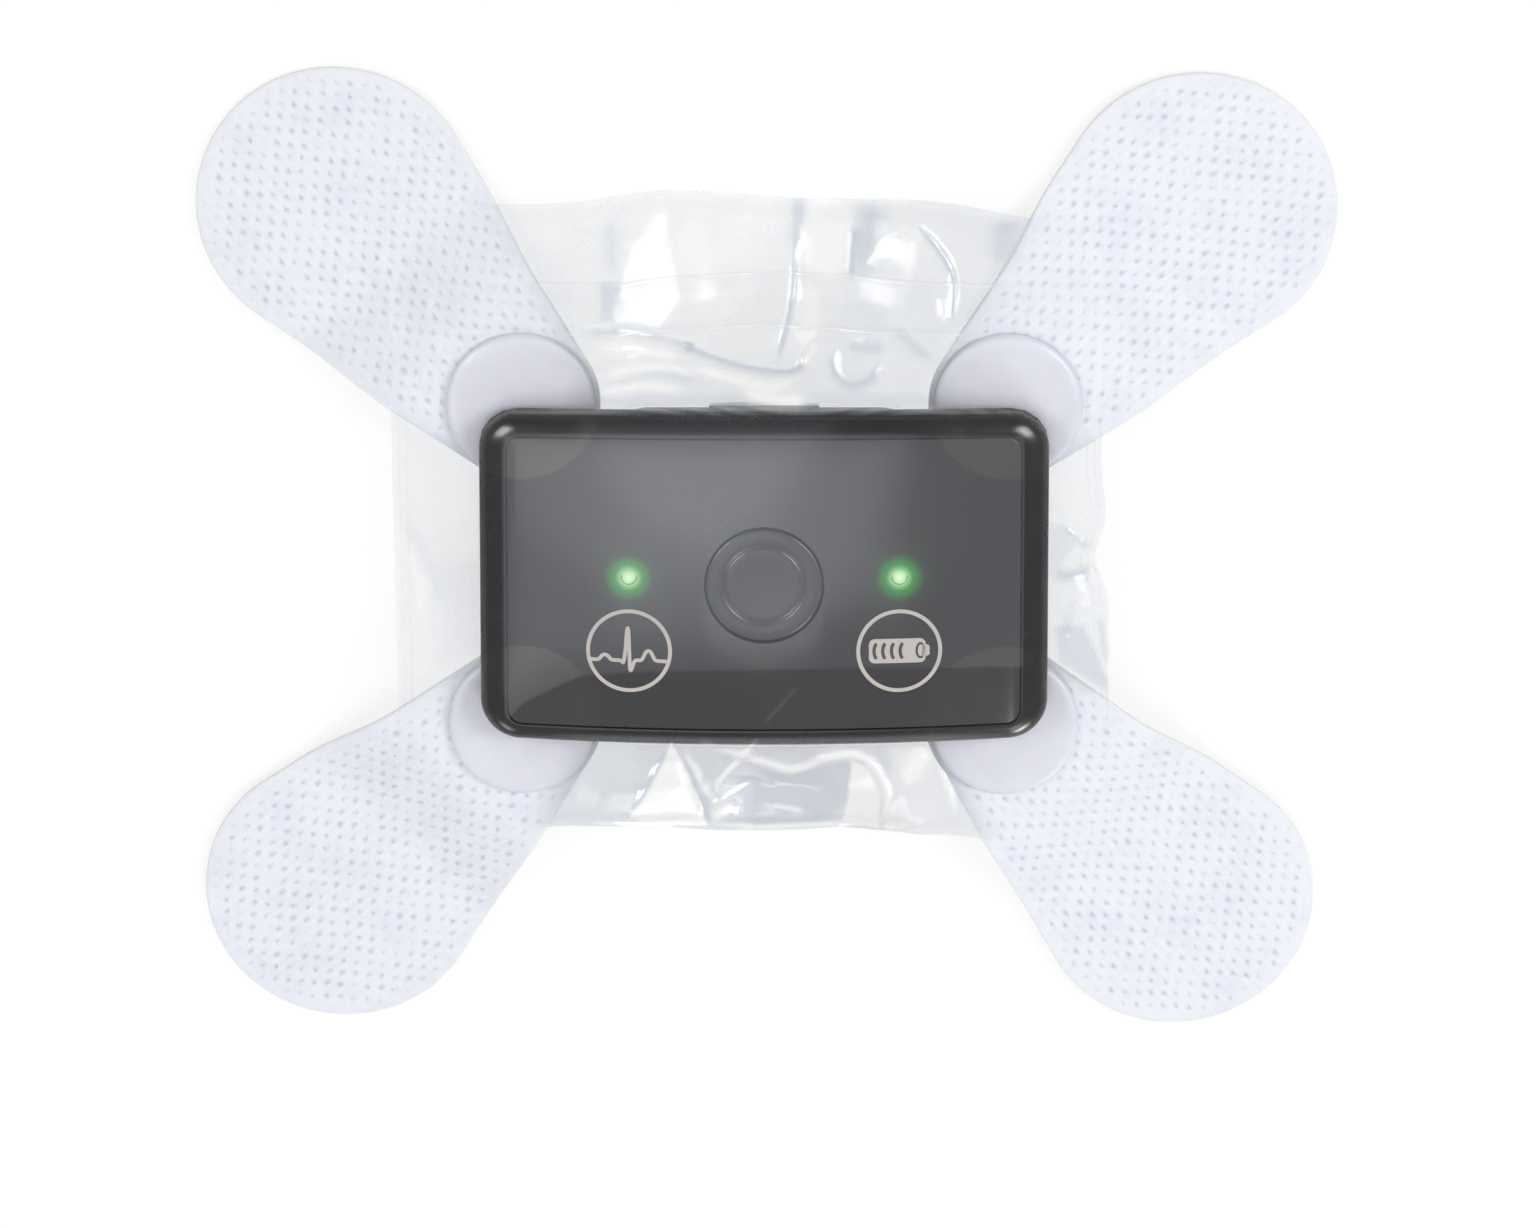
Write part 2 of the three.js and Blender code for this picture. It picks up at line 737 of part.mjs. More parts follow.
function eventKey() {
  const flangeRadius = keyRadius + keyFlangeWidth;
  const flangeTop = ceilingHeight - crownDrop(flangeRadius) - pressGap;
  const flangeBase = flangeTop - keyFlangeThickness;
  const stemBase = boardTop + switchHeight + plungerHeight + keyTravel + glueGap;
  return turned([
    [0, frontHeight],
    [keyGrooveRadius - keyGrooveWidth / 2, frontHeight],
    [keyGrooveRadius, frontHeight - keyGrooveDepth],
    [keyGrooveRadius + keyGrooveWidth / 2, frontHeight],
    [keyRadius - keyEdge, frontHeight],
    [keyRadius, frontHeight - keyEdge],
    [keyRadius, flangeTop],
    [flangeRadius, flangeTop],
    [flangeRadius, flangeBase],
    [keyStemRadius, flangeBase],
    [keyStemRadius, stemBase],
    [0, stemBase],
  ], 0, 0, roundSteps);
}

function lightGuide(x) {
  const ceiling = ceilingHeight - crownDrop(Math.abs(x) + lightFlangeRadius) - pressGap;
  const foot = boardTop + lampHeight + pressGap;
  const top = frontHeight - crownDrop(x);
  return turned([
    [0, foot],
    [lightRadius, foot],
    [lightRadius, ceiling - lightFlangeThickness],
    [lightFlangeRadius, ceiling - lightFlangeThickness],
    [lightFlangeRadius, ceiling],
    [lightRadius, ceiling],
    [lightRadius, top - lampEdge],
    [lightRadius - lampEdge, top],
    [0, top],
  ], x, lightOffset, smallRoundSteps);
}

function housingScrew([x, y]) {
  return turned([
    [0, wingUnderside],
    [screwHeadRadius, wingUnderside],
    [screwRadius, wingUnderside + screwHeadHeight],
    [screwRadius, screwTip - screwPointHeight],
    [0, screwTip],
  ], x, y, smallRoundSteps);
}

function snapSocket([x, y]) {
  const mouth = bossUnderside + glueGap;
  const top = boardBase - fitGap;
  const bore = snapSocketRadius - snapSocketWall;
  return turned([
    [0, top],
    [snapSocketRadius, top],
    [snapSocketRadius, mouth],
    [bore, mouth],
    [bore, top - snapSocketWall],
    [0, top - snapSocketWall],
  ], x, y, smallRoundSteps);
}

// The path of an electrode's sheet: level, down towards the table, then nearly level again

const bendTurn = radians(bendDegrees);
const restTurn = radians(restDegrees);
const sheetEnd = broadOffset + broadRadius;
const firstArc = bendRadius * bendTurn;
const secondArc = bendRadius * (bendTurn - restTurn);
const tipHeight = (backingThickness / 2 + glueGap + linerThickness) * Math.cos(restTurn);
const arcsFall = bendRadius * (1 + Math.cos(restTurn) - 2 * Math.cos(bendTurn));
const spareLength = sheetEnd - bendStart - firstArc - secondArc;
const slopeFall = sheetHeight - tipHeight - arcsFall - spareLength * Math.sin(restTurn);
const slopeLength = slopeFall / (Math.sin(bendTurn) - Math.sin(restTurn));
const bendEnd = bendStart + firstArc + slopeLength + secondArc;
const sheetPath = [
  { length: bendStart, from: 0, to: 0 },
  { length: firstArc, from: 0, to: bendTurn },
  { length: slopeLength, from: bendTurn, to: bendTurn },
  { length: secondArc, from: bendTurn, to: restTurn },
  { length: sheetEnd, from: restTurn, to: restTurn },
];

// Where a place at a distance along the sheet comes to lie, and how it slopes there.
function onSheet(distance) {
  let [x, z, left] = [0, sheetHeight, distance];
  for (const { length, from, to } of sheetPath) {
    const step = Math.min(left, length);
    const turn = (to - from) / length;
    const angle = from + turn * step;
    x += turn === 0 ? step * Math.cos(from) : (Math.sin(angle) - Math.sin(from)) / turn;
    z -= turn === 0 ? step * Math.sin(from) : (Math.cos(from) - Math.cos(angle)) / turn;
    left -= step;
    if (left <= 0) return { x, z, angle };
  }
  return { x, z, angle: restTurn };
}

// A layer that follows the bent sheet. Stations are pairs of distance and half width, and the
// heights are measured from the sheet's middle, square to it.
function sheetLayer(outline, low, high) {
  const bends = [];
  for (let i = 0; i <= bendSteps; i += 1) bends.push(bendStart + ((bendEnd - bendStart) * i) / bendSteps);
  const stations = [...outline];
  for (const distance of bends) {
    const next = outline.findIndex(([place]) => place > distance + glueGap);
    if (next < 1 || outline[next - 1][0] > distance - glueGap) continue;
    const [[fromPlace, fromWidth], [toPlace, toWidth]] = [outline[next - 1], outline[next]];
    const share = (distance - fromPlace) / (toPlace - fromPlace);
    stations.push([distance, fromWidth + (toWidth - fromWidth) * share]);
  }
  stations.sort((a, b) => a[0] - b[0]);
  const points = [];
  const triangles = [];
  stations.forEach(([distance, halfWidth]) => {
    const { x, z, angle } = onSheet(distance);
    for (const [side, rise] of [[-1, low], [1, low], [1, high], [-1, high]]) {
      points.push([x + rise * Math.sin(angle), side * halfWidth, z + rise * Math.cos(angle)]);
    }
  });
  for (let k = 0; k + 1 < stations.length; k += 1) {
    for (let i = 0; i < 4; i += 1) {
      const [a, b] = [4 * k + i, 4 * k + ((i + 1) % 4)];
      triangles.push([a, b + 4, b], [a, a + 4, b + 4]);
    }
  }
  const last = 4 * (stations.length - 1);
  triangles.push([0, 1, 2], [0, 2, 3], [last, last + 2, last + 1], [last, last + 3, last + 2]);
  return fromLists(points, triangles);
}

function arcStations(centre, radius, fromTurn, toTurn, steps) {
  const stations = [];
  for (let i = 0; i <= steps; i += 1) {
    const turn = fromTurn + ((toTurn - fromTurn) * i) / steps;
    stations.push([centre + radius * Math.cos(turn), radius * Math.sin(turn)]);
  }
  return stations;
}

const tangentTurn = quarterTurn + Math.asin((broadRadius - narrowRadius) / (broadOffset - discOffset));
const backingOutline = [
  ...arcStations(discOffset, narrowRadius, 2 * quarterTurn, tangentTurn, narrowSteps),
  ...arcStations(broadOffset, broadRadius, tangentTurn, 0, broadSteps),
];

function leadOutline(margin) {
  const half = leadWidth / 2 + margin;
  return [[-half, half], [broadOffset - gelRadius - channelMargin + margin, half]];
}

// Pieces of one electrode, with the stud at the origin and the sheet running along X

const underside = -backingThickness / 2;
const leadTop = underside + channelDepth - glueGap;
const sheetHoleRadius = eyeletPostRadius + pressGap;
const discBase = discTop - discThickness;
const filmConeStart = discOffset + discRadius + filmPastDisc;

function sheetHole() {
  return post(sheetHoleRadius, sheetHeight - overrun, discTop + overrun, 0, 0, smallRoundSteps);
}

function backing() {
  const sheet = sheetLayer(backingOutline, underside, -underside);
  const channel = sheetLayer(leadOutline(channelMargin), underside - overrun, underside + channelDepth);
  const pocket = sheetLayer(
    arcStations(broadOffset, gelRadius + channelMargin, 2 * quarterTurn, 0, gelSteps),
    underside - overrun,
    underside + gelThickness + glueGap,
  );
  return shape(sheet, [], [channel, pocket, sheetHole()]);
}

function leadStrip() {
  return shape(sheetLayer(leadOutline(0), leadTop - leadThickness, leadTop), [], [sheetHole()]);
}

function gelPad() {
  const outline = arcStations(broadOffset, gelRadius, 2 * quarterTurn, 0, gelSteps);
  return sheetLayer(outline, underside, underside + gelThickness);
}

// The liner is cut off square where the sheet starts to rise.
function releaseLiner() {
  const radius = broadRadius - linerMargin;
  const startTurn = Math.acos((linerStart - broadOffset) / radius);
  const outline = arcStations(broadOffset, radius, startTurn, 0, linerSteps);
  const top = underside - glueGap;
  return sheetLayer(outline, top - linerThickness, top);
}

function snapDisc() {
  const disc = turned([
    [0, discBase],
    [discRadius - discEdge, discBase],
    [discRadius, discBase + discEdge],
    [discRadius, discTop - discEdge],
    [discRadius - discEdge, discTop],
    [0, discTop],
  ], discOffset, 0, discSteps);
  const seat = studFlangeThickness + glueGap;
  const recess = post(studFlangeRadius + pressGap, discTop - seat, discTop + overrun, 0, 0, bossSteps);
  return shape(disc, [], [recess, sheetHole()]);
}

function snapStud() {
  const beadBase = bossUnderside + glueGap;
  const beadRadius = snapSocketRadius - snapSocketWall - snapClearance;
  const beadTop = beadBase + studBeadRise + studBeadHeight;
  return turned([
    [0, discTop - studFlangeThickness],
    [studFlangeRadius, discTop - studFlangeThickness],
    [studFlangeRadius, discTop],
    [studNeckRadius, discTop],
    [studNeckRadius, beadBase],
    [beadRadius, beadBase + studBeadRise],
    [beadRadius, beadTop],
    [studTipRadius, beadTop + studTipRise],
    [0, beadTop + studTipRise],
  ], 0, 0, smallRoundSteps);
}

function eyelet() {
  const flangeTop = sheetHeight + leadTop - leadThickness - glueGap / 2;
  return turned([
    [0, flangeTop - eyeletFlangeThickness],
    [eyeletFlangeRadius, flangeTop - eyeletFlangeThickness],
    [eyeletFlangeRadius, flangeTop],
    [eyeletPostRadius, flangeTop],
    [eyeletPostRadius, discTop - studFlangeThickness - glueGap],
    [0, discTop - studFlangeThickness - glueGap],
  ], 0, 0, smallRoundSteps);
}

// Film pouch

const filmOffset = fitGap + filmThickness / 2;
const sheetPlanReach = onSheet(broadOffset).x;

// How far a place, in an electrode's own plan, lies outside the outline of its sheet.
function outsideSheet(along, across) {
  const fromNarrow = Math.hypot(along - discOffset, across) - narrowRadius;
  const fromBroad = Math.hypot(along - sheetPlanReach, across) - broadRadius;
  if (along < discOffset) return fromNarrow;
  if (along > sheetPlanReach) return fromBroad;
  const share = (along - discOffset) / (sheetPlanReach - discOffset);
  return across - narrowRadius - (broadRadius - narrowRadius) * share;
}

// The height that keeps a film clear of the electrodes, wherever they have swivelled to: level
// over each snap disc, falling like a cone beyond it, and falling faster beside the sheet.
function clearOfElectrodes(x, y) {
  const heights = electrodes.map(({ degrees, sideX, sideY }, index) => {
    const [snapX, snapY] = snapPlaces[index];
    const distance = Math.hypot(x - snapX, y - snapY);
    const direction = Math.atan2(y - snapY, x - snapX);
    let beside = distance;
    for (let i = 0; i <= swivelSteps; i += 1) {
      const swivel = swivelInDegrees - ((swivelInDegrees + swivelOutDegrees) * i) / swivelSteps;
      const turn = direction - radians(degrees + sideX * sideY * swivel);
      const across = Math.abs(distance * Math.sin(turn));
      beside = Math.min(beside, outsideSheet(distance * Math.cos(turn), across));
    }
    const cone = discTop - filmConeShare * Math.max(0, distance - filmConeStart);
    return cone - filmFallShare * Math.max(0, beside - filmSpread);
  });
  return Math.max(...heights) + filmOffset;
}

function between(from, to, share) {
  return from.map(([x, y], i) => [x + (to[i][0] - x) * share, y + (to[i][1] - y) * share, 0]);
}

// The pouch's edge, as one ring that runs point for point with the housing's rings.
function pouchRing() {
  return ring(1, 1, pouchCornerShare, 0, () => 0).map(([shareX, shareY]) => {
    const toRight = (shareX + 1) / 2;
    const toTop = (shareY + 1) / 2;
    const upper = pouchUpperLeft + (pouchUpperRight - pouchUpperLeft) * toRight
      + pouchUpperBulge * (1 - shareX ** 2);
    const lower = pouchLowerLeft + (pouchLowerRight - pouchLowerLeft) * toRight;
    return [pouchLeft + (pouchRight - pouchLeft) * toRight, lower + (upper - lower) * toTop, 0];
  });
}

const outlineRing = bezelRing(0, filmOffset);
const edgeRing = pouchRing();
const outerShares = [0, 0.2, 0.5, 1];

// Rings of the back film outside the block: level with the table or over the electrodes.
function drapedRing(from, to, share, riseShare) {
  return between(from, to, share).map(([x, y]) => (
    [x, y, Math.max(filmEdgeHeight * riseShare, clearOfElectrodes(x, y))]));
}

const outerBackRings = outerShares.map((share) => (
  drapedRing(outlineRing, edgeRing, share, share + (1 - share) / 2)));

// A film of even thickness about rings that run from its middle to its edge.
function film(rings) {
  const count = rings[0].length;
  const sides = [[], []];
  rings.forEach((points, k) => points.forEach((point, i) => {
    const after = new THREE.Vector3(...points[(i + 1) % count]);
    const before = new THREE.Vector3(...points[(i + count - 1) % count]);
    const outer = new THREE.Vector3(...rings[Math.min(k + 1, rings.length - 1)][i]);
    const inner = new THREE.Vector3(...rings[Math.max(k - 1, 0)][i]);
    const normal = outer.sub(inner).cross(after.sub(before)).normalize();
    if (k === 0) normal.set(0, 0, 1);
    [1, -1].forEach((side, s) => sides[s].push(
      point.map((value, axis) => value + (side * normal.getComponent(axis) * filmThickness) / 2),
    ));
  }));
  const under = rings.length * count;
  const upper = capTriangles(count, 0, true);
  for (let k = 0; k + 1 < rings.length; k += 1) {
    upper.push(...bandTriangles(count, (k + 1) * count, k * count));
  }
  const lower = upper.map(([a, b, c]) => [a + under, c + under, b + under]);
  const rim = bandTriangles(count, under + under - count, under - count);
  return fromLists([...sides[0], ...sides[1]], [...upper, ...lower, ...rim]);
}

function backFilm() {
  const turnShares = [1, 0.75, 0.5, 0.25, 0];
  const floor = bellyRing(quarterTurn, filmOffset);
  const middle = floor.map(([x, y, z]) => [x * (1 - filmMiddleShare), y * (1 - filmMiddleShare), z]);
  const belly = turnShares.map((share) => bellyRing(share * quarterTurn, filmOffset)
    .map(([x, y, z]) => [x, y, Math.max(floor[0][2], Math.min(z, clearOfElectrodes(x, y)))]));
  const wall = belly[belly.length - 1];
  const wingShares = [0.15, 0.6];
  const wings = wingShares.map((share) => drapedRing(wall, outlineRing, share, share / 2));
  const sheet = film([middle, ...belly, ...wings, ...outerBackRings]);
  const holes = snapPlaces.map(([x, y]) => (
    post(filmHoleRadius, discTop - overrun, bossUnderside + overrun, x, y, smallRoundSteps)));
  return shape(sheet, [], holes);
}

function frontFilm() {
  const panelTop = frontHeight + bezelLip + filmOffset;
  const turnShares = [1, 0.66, 0.33];
  const within = bezelLength * 2;
  const panel = bodyRing(within, within, panelCornerRadius, panelTop);
  const bezel = turnShares.map((share) => bezelRing(share * quarterTurn, filmOffset));
  const outer = outerBackRings.map((points, k) => points.map(([x, y, z], i) => {
    const rim = partingHeight + filmRimRise - crownDrop(outlineRing[i][0]);
    const low = z + filmRoom;
    return [x, y, low + (rim - low) * (1 - outerShares[k]) ** filmDrapePower];
  }));
  return film([panel, ...bezel, ...outer]);
}

// The highest point of a mesh over a place in plan.
function topOver(geometry, x, y) {
  const place = geometry.attributes.position;
  const corner = geometry.index.array;
  let top = -Infinity;
  for (let i = 0; i < corner.length; i += 3) {
    const [a, b, c] = [corner[i], corner[i + 1], corner[i + 2]];
    const [ax, ay, bx, by] = [place.getX(a), place.getY(a), place.getX(b), place.getY(b)];
    const [cx, cy] = [place.getX(c), place.getY(c)];
    const area = (bx - ax) * (cy - ay) - (cx - ax) * (by - ay);
    const toB = ((x - ax) * (cy - ay) - (cx - ax) * (y - ay)) / area;
    const toC = ((bx - ax) * (y - ay) - (x - ax) * (by - ay)) / area;
    if (toB < 0 || toC < 0 || toB + toC > 1) continue;
    top = Math.max(top, place.getZ(a) * (1 - toB - toC) + place.getZ(b) * toB + place.getZ(c) * toC);
  }
  return top;
}

// The strip lies along the front film, on the highest that the film reaches under each part.
function closureStrip(under) {
  const from = pouchLeft + stripMargin;
  const to = pouchRight - stripMargin;
  const step = (to - from) / stripSteps;
  const rows = [stripBase, (stripBase + stripTop) / 2, stripTop];
  const points = [];
  const triangles = [];
  for (let i = 0; i <= stripSteps; i += 1) {
    const x = from + step * i;
    rows.forEach((y) => {
      const shares = [-0.5, 0, 0.5];
      const heights = shares.map((share) => topOver(under, Math.min(to, Math.max(from, x + step * share)), y));
      const base = Math.max(...heights) + stripLift;
      points.push([x, y, base], [x, y, base + stripThickness]);
    });
  }
  const around = [0, 1, 3, 5, 4, 2];
  for (let i = 0; i < stripSteps; i += 1) {
    around.forEach((corner, n) => {
      const [a, b] = [6 * i + corner, 6 * i + around[(n + 1) % 6]];
      triangles.push([a, b, b + 6], [a, b + 6, a + 6]);
    });
  }
  const last = 6 * stripSteps;
  triangles.push([0, 3, 1], [0, 2, 3], [2, 5, 3], [2, 4, 5]);
  triangles.push(...[[0, 1, 3], [0, 3, 2], [2, 3, 5], [2, 5, 4]].map((t) => t.map((n) => n + last)));
  return fromLists(points, triangles);
}

// The whole object

const recorder = new THREE.Group();

function add(group, name, geometry, finish) {
  const mesh = new THREE.Mesh(tidy(geometry), new THREE.MeshStandardMaterial(materials[finish]));
  mesh.name = name;
  group.add(mesh);
}

add(recorder, 'front_shell', frontShell(), 'shell');
add(recorder, 'front_label', frontLabel(), 'label');
add(recorder, 'back_shell', backShell(), 'shell');
add(recorder, 'seal_gasket', sealGasket(), 'seal');
add(recorder, 'port_cover', portCover(), 'seal');
add(recorder, 'event_key', eventKey(), 'key');
add(recorder, 'event_switch', eventSwitch(), 'steel');
add(recorder, 'main_board', mainBoard(), 'board');
add(recorder, 'charge_board', chargeBoard(), 'board');
add(recorder, 'board_connector', moulded(
  connectorLength / 2,
  connectorWidth / 2,
  chargeBoardTop,
  boardBase,
  chipEdge,
  0,
  connectorOffset,
), 'chip');
add(recorder, 'processor_chip', moulded(
  processorWidth / 2,
  processorWidth / 2,
  boardTop,
  boardTop + processorHeight,
  chipEdge,
  processorX,
  processorY,
), 'chip');
add(recorder, 'memory_chip', moulded(
  memoryLength / 2,
  memoryWidth / 2,
  boardTop,
  boardTop + memoryHeight,
  chipEdge,
  memoryX,
  memoryY,
), 'chip');
add(recorder, 'charging_socket', chargingSocket(), 'steel');
add(recorder, 'battery_cell', batteryCell(), 'cell');

[['left', -1], ['right', 1]].forEach(([name, side]) => {
  const x = (side * lightSpacing) / 2;
  const lamp = moulded(
    lampLength / 2,
    lampWidth / 2,
    boardTop,
    boardTop + lampHeight,
    lampEdge,
    x,
    lightOffset,
  );
  add(recorder, `${name}_lamp`, lamp, 'light');
  add(recorder, `${name}_light_guide`, lightGuide(x), 'light');
});

electrodes.forEach(({ name, degrees }, index) => {
  add(recorder, `${name}_screw`, housingScrew(screwPlaces[index]), 'steel');
  add(recorder, `${name}_snap_socket`, snapSocket(snapPlaces[index]), 'steel');
  const electrode = new THREE.Group();
  electrode.position.set(...snapPlaces[index], 0);
  electrode.rotation.z = radians(degrees);
  add(electrode, `${name}_backing`, backing(), 'fabric');
  add(electrode, `${name}_lead_strip`, leadStrip(), 'lead');
  add(electrode, `${name}_gel_pad`, gelPad(), 'gel');
  add(electrode, `${name}_liner`, releaseLiner(), 'film');
  add(electrode, `${name}_snap_disc`, snapDisc(), 'disc');
  add(electrode, `${name}_stud`, snapStud(), 'steel');
  add(electrode, `${name}_eyelet`, eyelet(), 'steel');
  recorder.add(electrode);
});

const front = frontFilm();
add(recorder, 'pouch_back_film', backFilm(), 'film');
add(recorder, 'pouch_front_film', front, 'film');
add(recorder, 'pouch_closure_strip', closureStrip(front), 'film');

export default recorder;
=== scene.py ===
"""A chest-worn ECG recorder in a clear film pouch, dressed with its finishes and set on a pale floor."""

import json
import math

import bpy
import numpy as np
from bpy.props import FloatProperty, FloatVectorProperty, IntProperty, PointerProperty
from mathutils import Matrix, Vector, noise


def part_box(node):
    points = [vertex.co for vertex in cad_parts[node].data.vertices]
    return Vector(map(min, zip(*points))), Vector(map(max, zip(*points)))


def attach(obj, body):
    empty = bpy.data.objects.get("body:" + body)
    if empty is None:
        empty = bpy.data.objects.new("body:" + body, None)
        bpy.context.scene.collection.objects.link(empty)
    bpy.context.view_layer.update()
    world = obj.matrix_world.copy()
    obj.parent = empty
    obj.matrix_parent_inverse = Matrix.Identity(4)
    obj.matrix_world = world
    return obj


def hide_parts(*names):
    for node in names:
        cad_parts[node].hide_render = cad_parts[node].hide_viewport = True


bl_info = {
    "name": "Chest-worn ECG recorder",
    "version": (1, 0, 0),
    "blender": (4, 5, 0),
    "location": "View3D > Sidebar > Recorder",
    "description": "Builds the recorder's housing, electrodes and film pouch around its frame",
    "category": "Object",
}

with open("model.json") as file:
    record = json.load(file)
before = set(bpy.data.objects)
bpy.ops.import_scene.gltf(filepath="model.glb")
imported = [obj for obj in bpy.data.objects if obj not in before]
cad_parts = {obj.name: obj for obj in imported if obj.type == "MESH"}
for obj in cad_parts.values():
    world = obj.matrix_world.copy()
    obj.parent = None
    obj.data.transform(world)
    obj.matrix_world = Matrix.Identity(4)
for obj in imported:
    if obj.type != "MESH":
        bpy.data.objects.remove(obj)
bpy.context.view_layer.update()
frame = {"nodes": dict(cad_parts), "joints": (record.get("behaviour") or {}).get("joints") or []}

MM = 0.001
CORNERS = ("upper_right", "upper_left", "lower_left", "lower_right")
JOINTS = {joint["name"]: joint for joint in frame["joints"]}
SENSOR_WIDTH = 36


def mm(value):
    return value * MM


# Shader maths


def operator(operation, swapped=False):
    """One of a wire's operators, which adds a Math node."""
    if swapped:
        return lambda self, other: self.maths(operation, other, self)
    return lambda self, *others: self.maths(operation, self, *others)


class Wire:
    """A value on its way through a material. Python's operators on it add Math nodes."""

    def __init__(self, paint, socket):
        self.paint = paint
        self.socket = socket

    def maths(self, operation, *values):
        return self.paint.node("Math", dict(enumerate(values)), operation=operation)

    __add__, __radd__ = operator("ADD"), operator("ADD", swapped=True)
    __sub__, __rsub__ = operator("SUBTRACT"), operator("SUBTRACT", swapped=True)
    __mul__, __rmul__ = operator("MULTIPLY"), operator("MULTIPLY", swapped=True)
    __truediv__ = operator("DIVIDE")
    __abs__ = operator("ABSOLUTE")
    least, most = operator("MINIMUM"), operator("MAXIMUM")
    nearest, root, wave = operator("ROUND"), operator("SQRT"), operator("SINE")

    def __neg__(self):
        return self * -1

    def between(self, low, high):
        """0 below low and 1 above high, with a smooth step from one to the other."""
        values = {"Value": self, "From Min": low, "From Max": high}
        return self.paint.node("MapRange", values, interpolation_type="SMOOTHSTEP")

    def parts(self):
        """The three numbers of a vector."""
        made = self.paint.node("SeparateXYZ", {"Vector": self})
        return [Wire(self.paint, socket) for socket in made.socket.node.outputs]


class Nodes:
    """A node tree being wired."""

    def __init__(self, tree):
        self.tree = tree

    def node(self, kind, values=(), output=0, **settings):
        """Adds a node of a kind. Its settings come first, then its sockets' values or links."""
        made = self.tree.nodes.new("ShaderNode" + kind)
        for name, value in settings.items():
            setattr(made, name, value)
        for socket, value in dict(values).items():
            self.feed(made.inputs[socket], value)
        return Wire(self, made.outputs[output])

    def feed(self, socket, value):
        if isinstance(value, Wire):
            self.tree.links.new(value.socket, socket)
        elif value is not None:
            socket.default_value = (*value, 1) if socket.type == "RGBA" and len(value) == 3 else value


class Paint(Nodes):
    """A material being mixed from nodes."""

    def __init__(self, name, **constants):
        self.material = bpy.data.materials.new(name)
        self.material.use_nodes = True
        super().__init__(self.material.node_tree)
        self.shader = self.tree.nodes["Principled BSDF"]
        for socket, value in constants.items():
            self.shader.inputs[socket.replace("_", " ").title().replace("Ior", "IOR")].default_value = value

    def set(self, **values):
        """Links what changes over the surface to the shader's sockets."""
        for socket, value in values.items():
            self.feed(self.shader.inputs[socket.replace("_", " ").title()], value)

    def place(self):
        """The surface's own coordinates, in metres."""
        return self.node("TexCoord", output="Object")

    def flat(self):
        """The place on the flat sheet that the surface was cut from, in metres."""
        return self.node("UVMap", uv_map="flat")

    def attribute(self, name):
        return self.node("Attribute", output="Fac", attribute_name=name)

    def mix(self, share, first, second):
        """A colour between two colours."""
        made = self.node("Mix", {"Factor": share}, output=2, data_type="RGBA")
        self.feed(made.socket.node.inputs[6], first)
        self.feed(made.socket.node.inputs[7], second)
        return made

    def grain(self, place, size, detail=2, roughness=0.5):
        """Soft noise with grains of about the given size, in metres."""
        values = {"Vector": place, "Scale": 1 / size, "Detail": detail, "Roughness": roughness}
        return self.node("TexNoise", values)

    def bump(self, height, depth):
        """Relief whose height, from 0 to 1, stands for a depth in metres."""
        return self.node("Bump", {"Height": height, "Distance": depth, "Strength": 1})


# Sizes and colours that a user would change


def length(name, description, value, **settings):
    return FloatProperty(name=name, description=description, default=mm(value), unit="LENGTH", **settings)


def colour(name, description, value):
    return FloatVectorProperty(
        name=name, description=description, default=value, subtype="COLOR", size=3, min=0, max=1
    )


class HousingSettings(bpy.types.PropertyGroup):
    """Sizes and colours of the recorder's housing."""

    corner_radius: length("Corner radius", "Radius of the housing's corners, seen from the front", 6)
    bulge: length("Side bulge", "How far the long sides bow out at their middle", 0.5)
    crown_rise: length("Crown rise", "How far the front falls from its middle to its ends", 3.04)
    bezel_length: length("Bezel at the ends", "Width of the rounded bezel at the housing's ends", 4.15)
    bezel_width: length("Bezel at the sides", "Width of the rounded bezel at the long sides", 3.1)
    label_corner: length("Label corner", "Radius of the label's corners", 2.2)
    key_groove: length("Key groove radius", "Radius of the round groove in the event key", 6.2)
    sign_radius: length("Pictogram radius", "Radius of the ring round each printed pictogram", 6.35)
    sign_line: length("Pictogram line", "Width of the pictograms' printed lines", 0.6)
    sign_place: length("Pictogram place", "How far the pictograms stand below the key", 10.7)
    shell_colour: colour("Housing colour", "Colour of the moulded housing", (0.007, 0.0066, 0.0076))
    label_colour: colour("Label colour", "Colour of the front label", (0.040, 0.038, 0.041))
    print_colour: colour("Print colour", "Colour of the printed pictograms", (0.62, 0.56, 0.52))
    light_colour: colour("Light colour", "Colour of the lit indicator lights", (0.0, 0.30, 0.02))


class ElectrodeSettings(bpy.types.PropertyGroup):
    """Sizes and colours of the electrodes, with places measured along the flat sheet from the stud."""

    disc_offset: length("Disc offset", "How far a snap disc's middle lies from its stud", 6.5)
    narrow_radius: length("Narrow radius", "Radius of the sheet's end under the recorder", 12.3)
    broad_radius: length("Broad radius", "Radius of the sheet's outer end", 21.6)
    broad_offset: length("Broad offset", "How far the outer end's middle lies from the stud", 49.3)
    bend_start: length("Bend start", "Where the sheet starts to bend down to the table", 18.6)
    bend_radius: length("Bend radius", "Radius of the two bends of the sheet", 14)
    dot_pitch: length("Dot pitch", "Distance between the nonwoven's embossed dots", 2.1)
    dot_length: length("Dot length", "Length of one embossed dot", 0.95)
    dot_width: length("Dot width", "Width of one embossed dot", 0.52)
    cell: length("Mesh cell", "Size of the sheet's mesh cells", 1.5)
    sheet_colour: colour("Nonwoven colour", "Colour of the nonwoven sheet", (0.905, 0.92, 0.985))
    disc_colour: colour("Disc colour", "Colour of the translucent snap discs", (0.872, 0.882, 0.978))


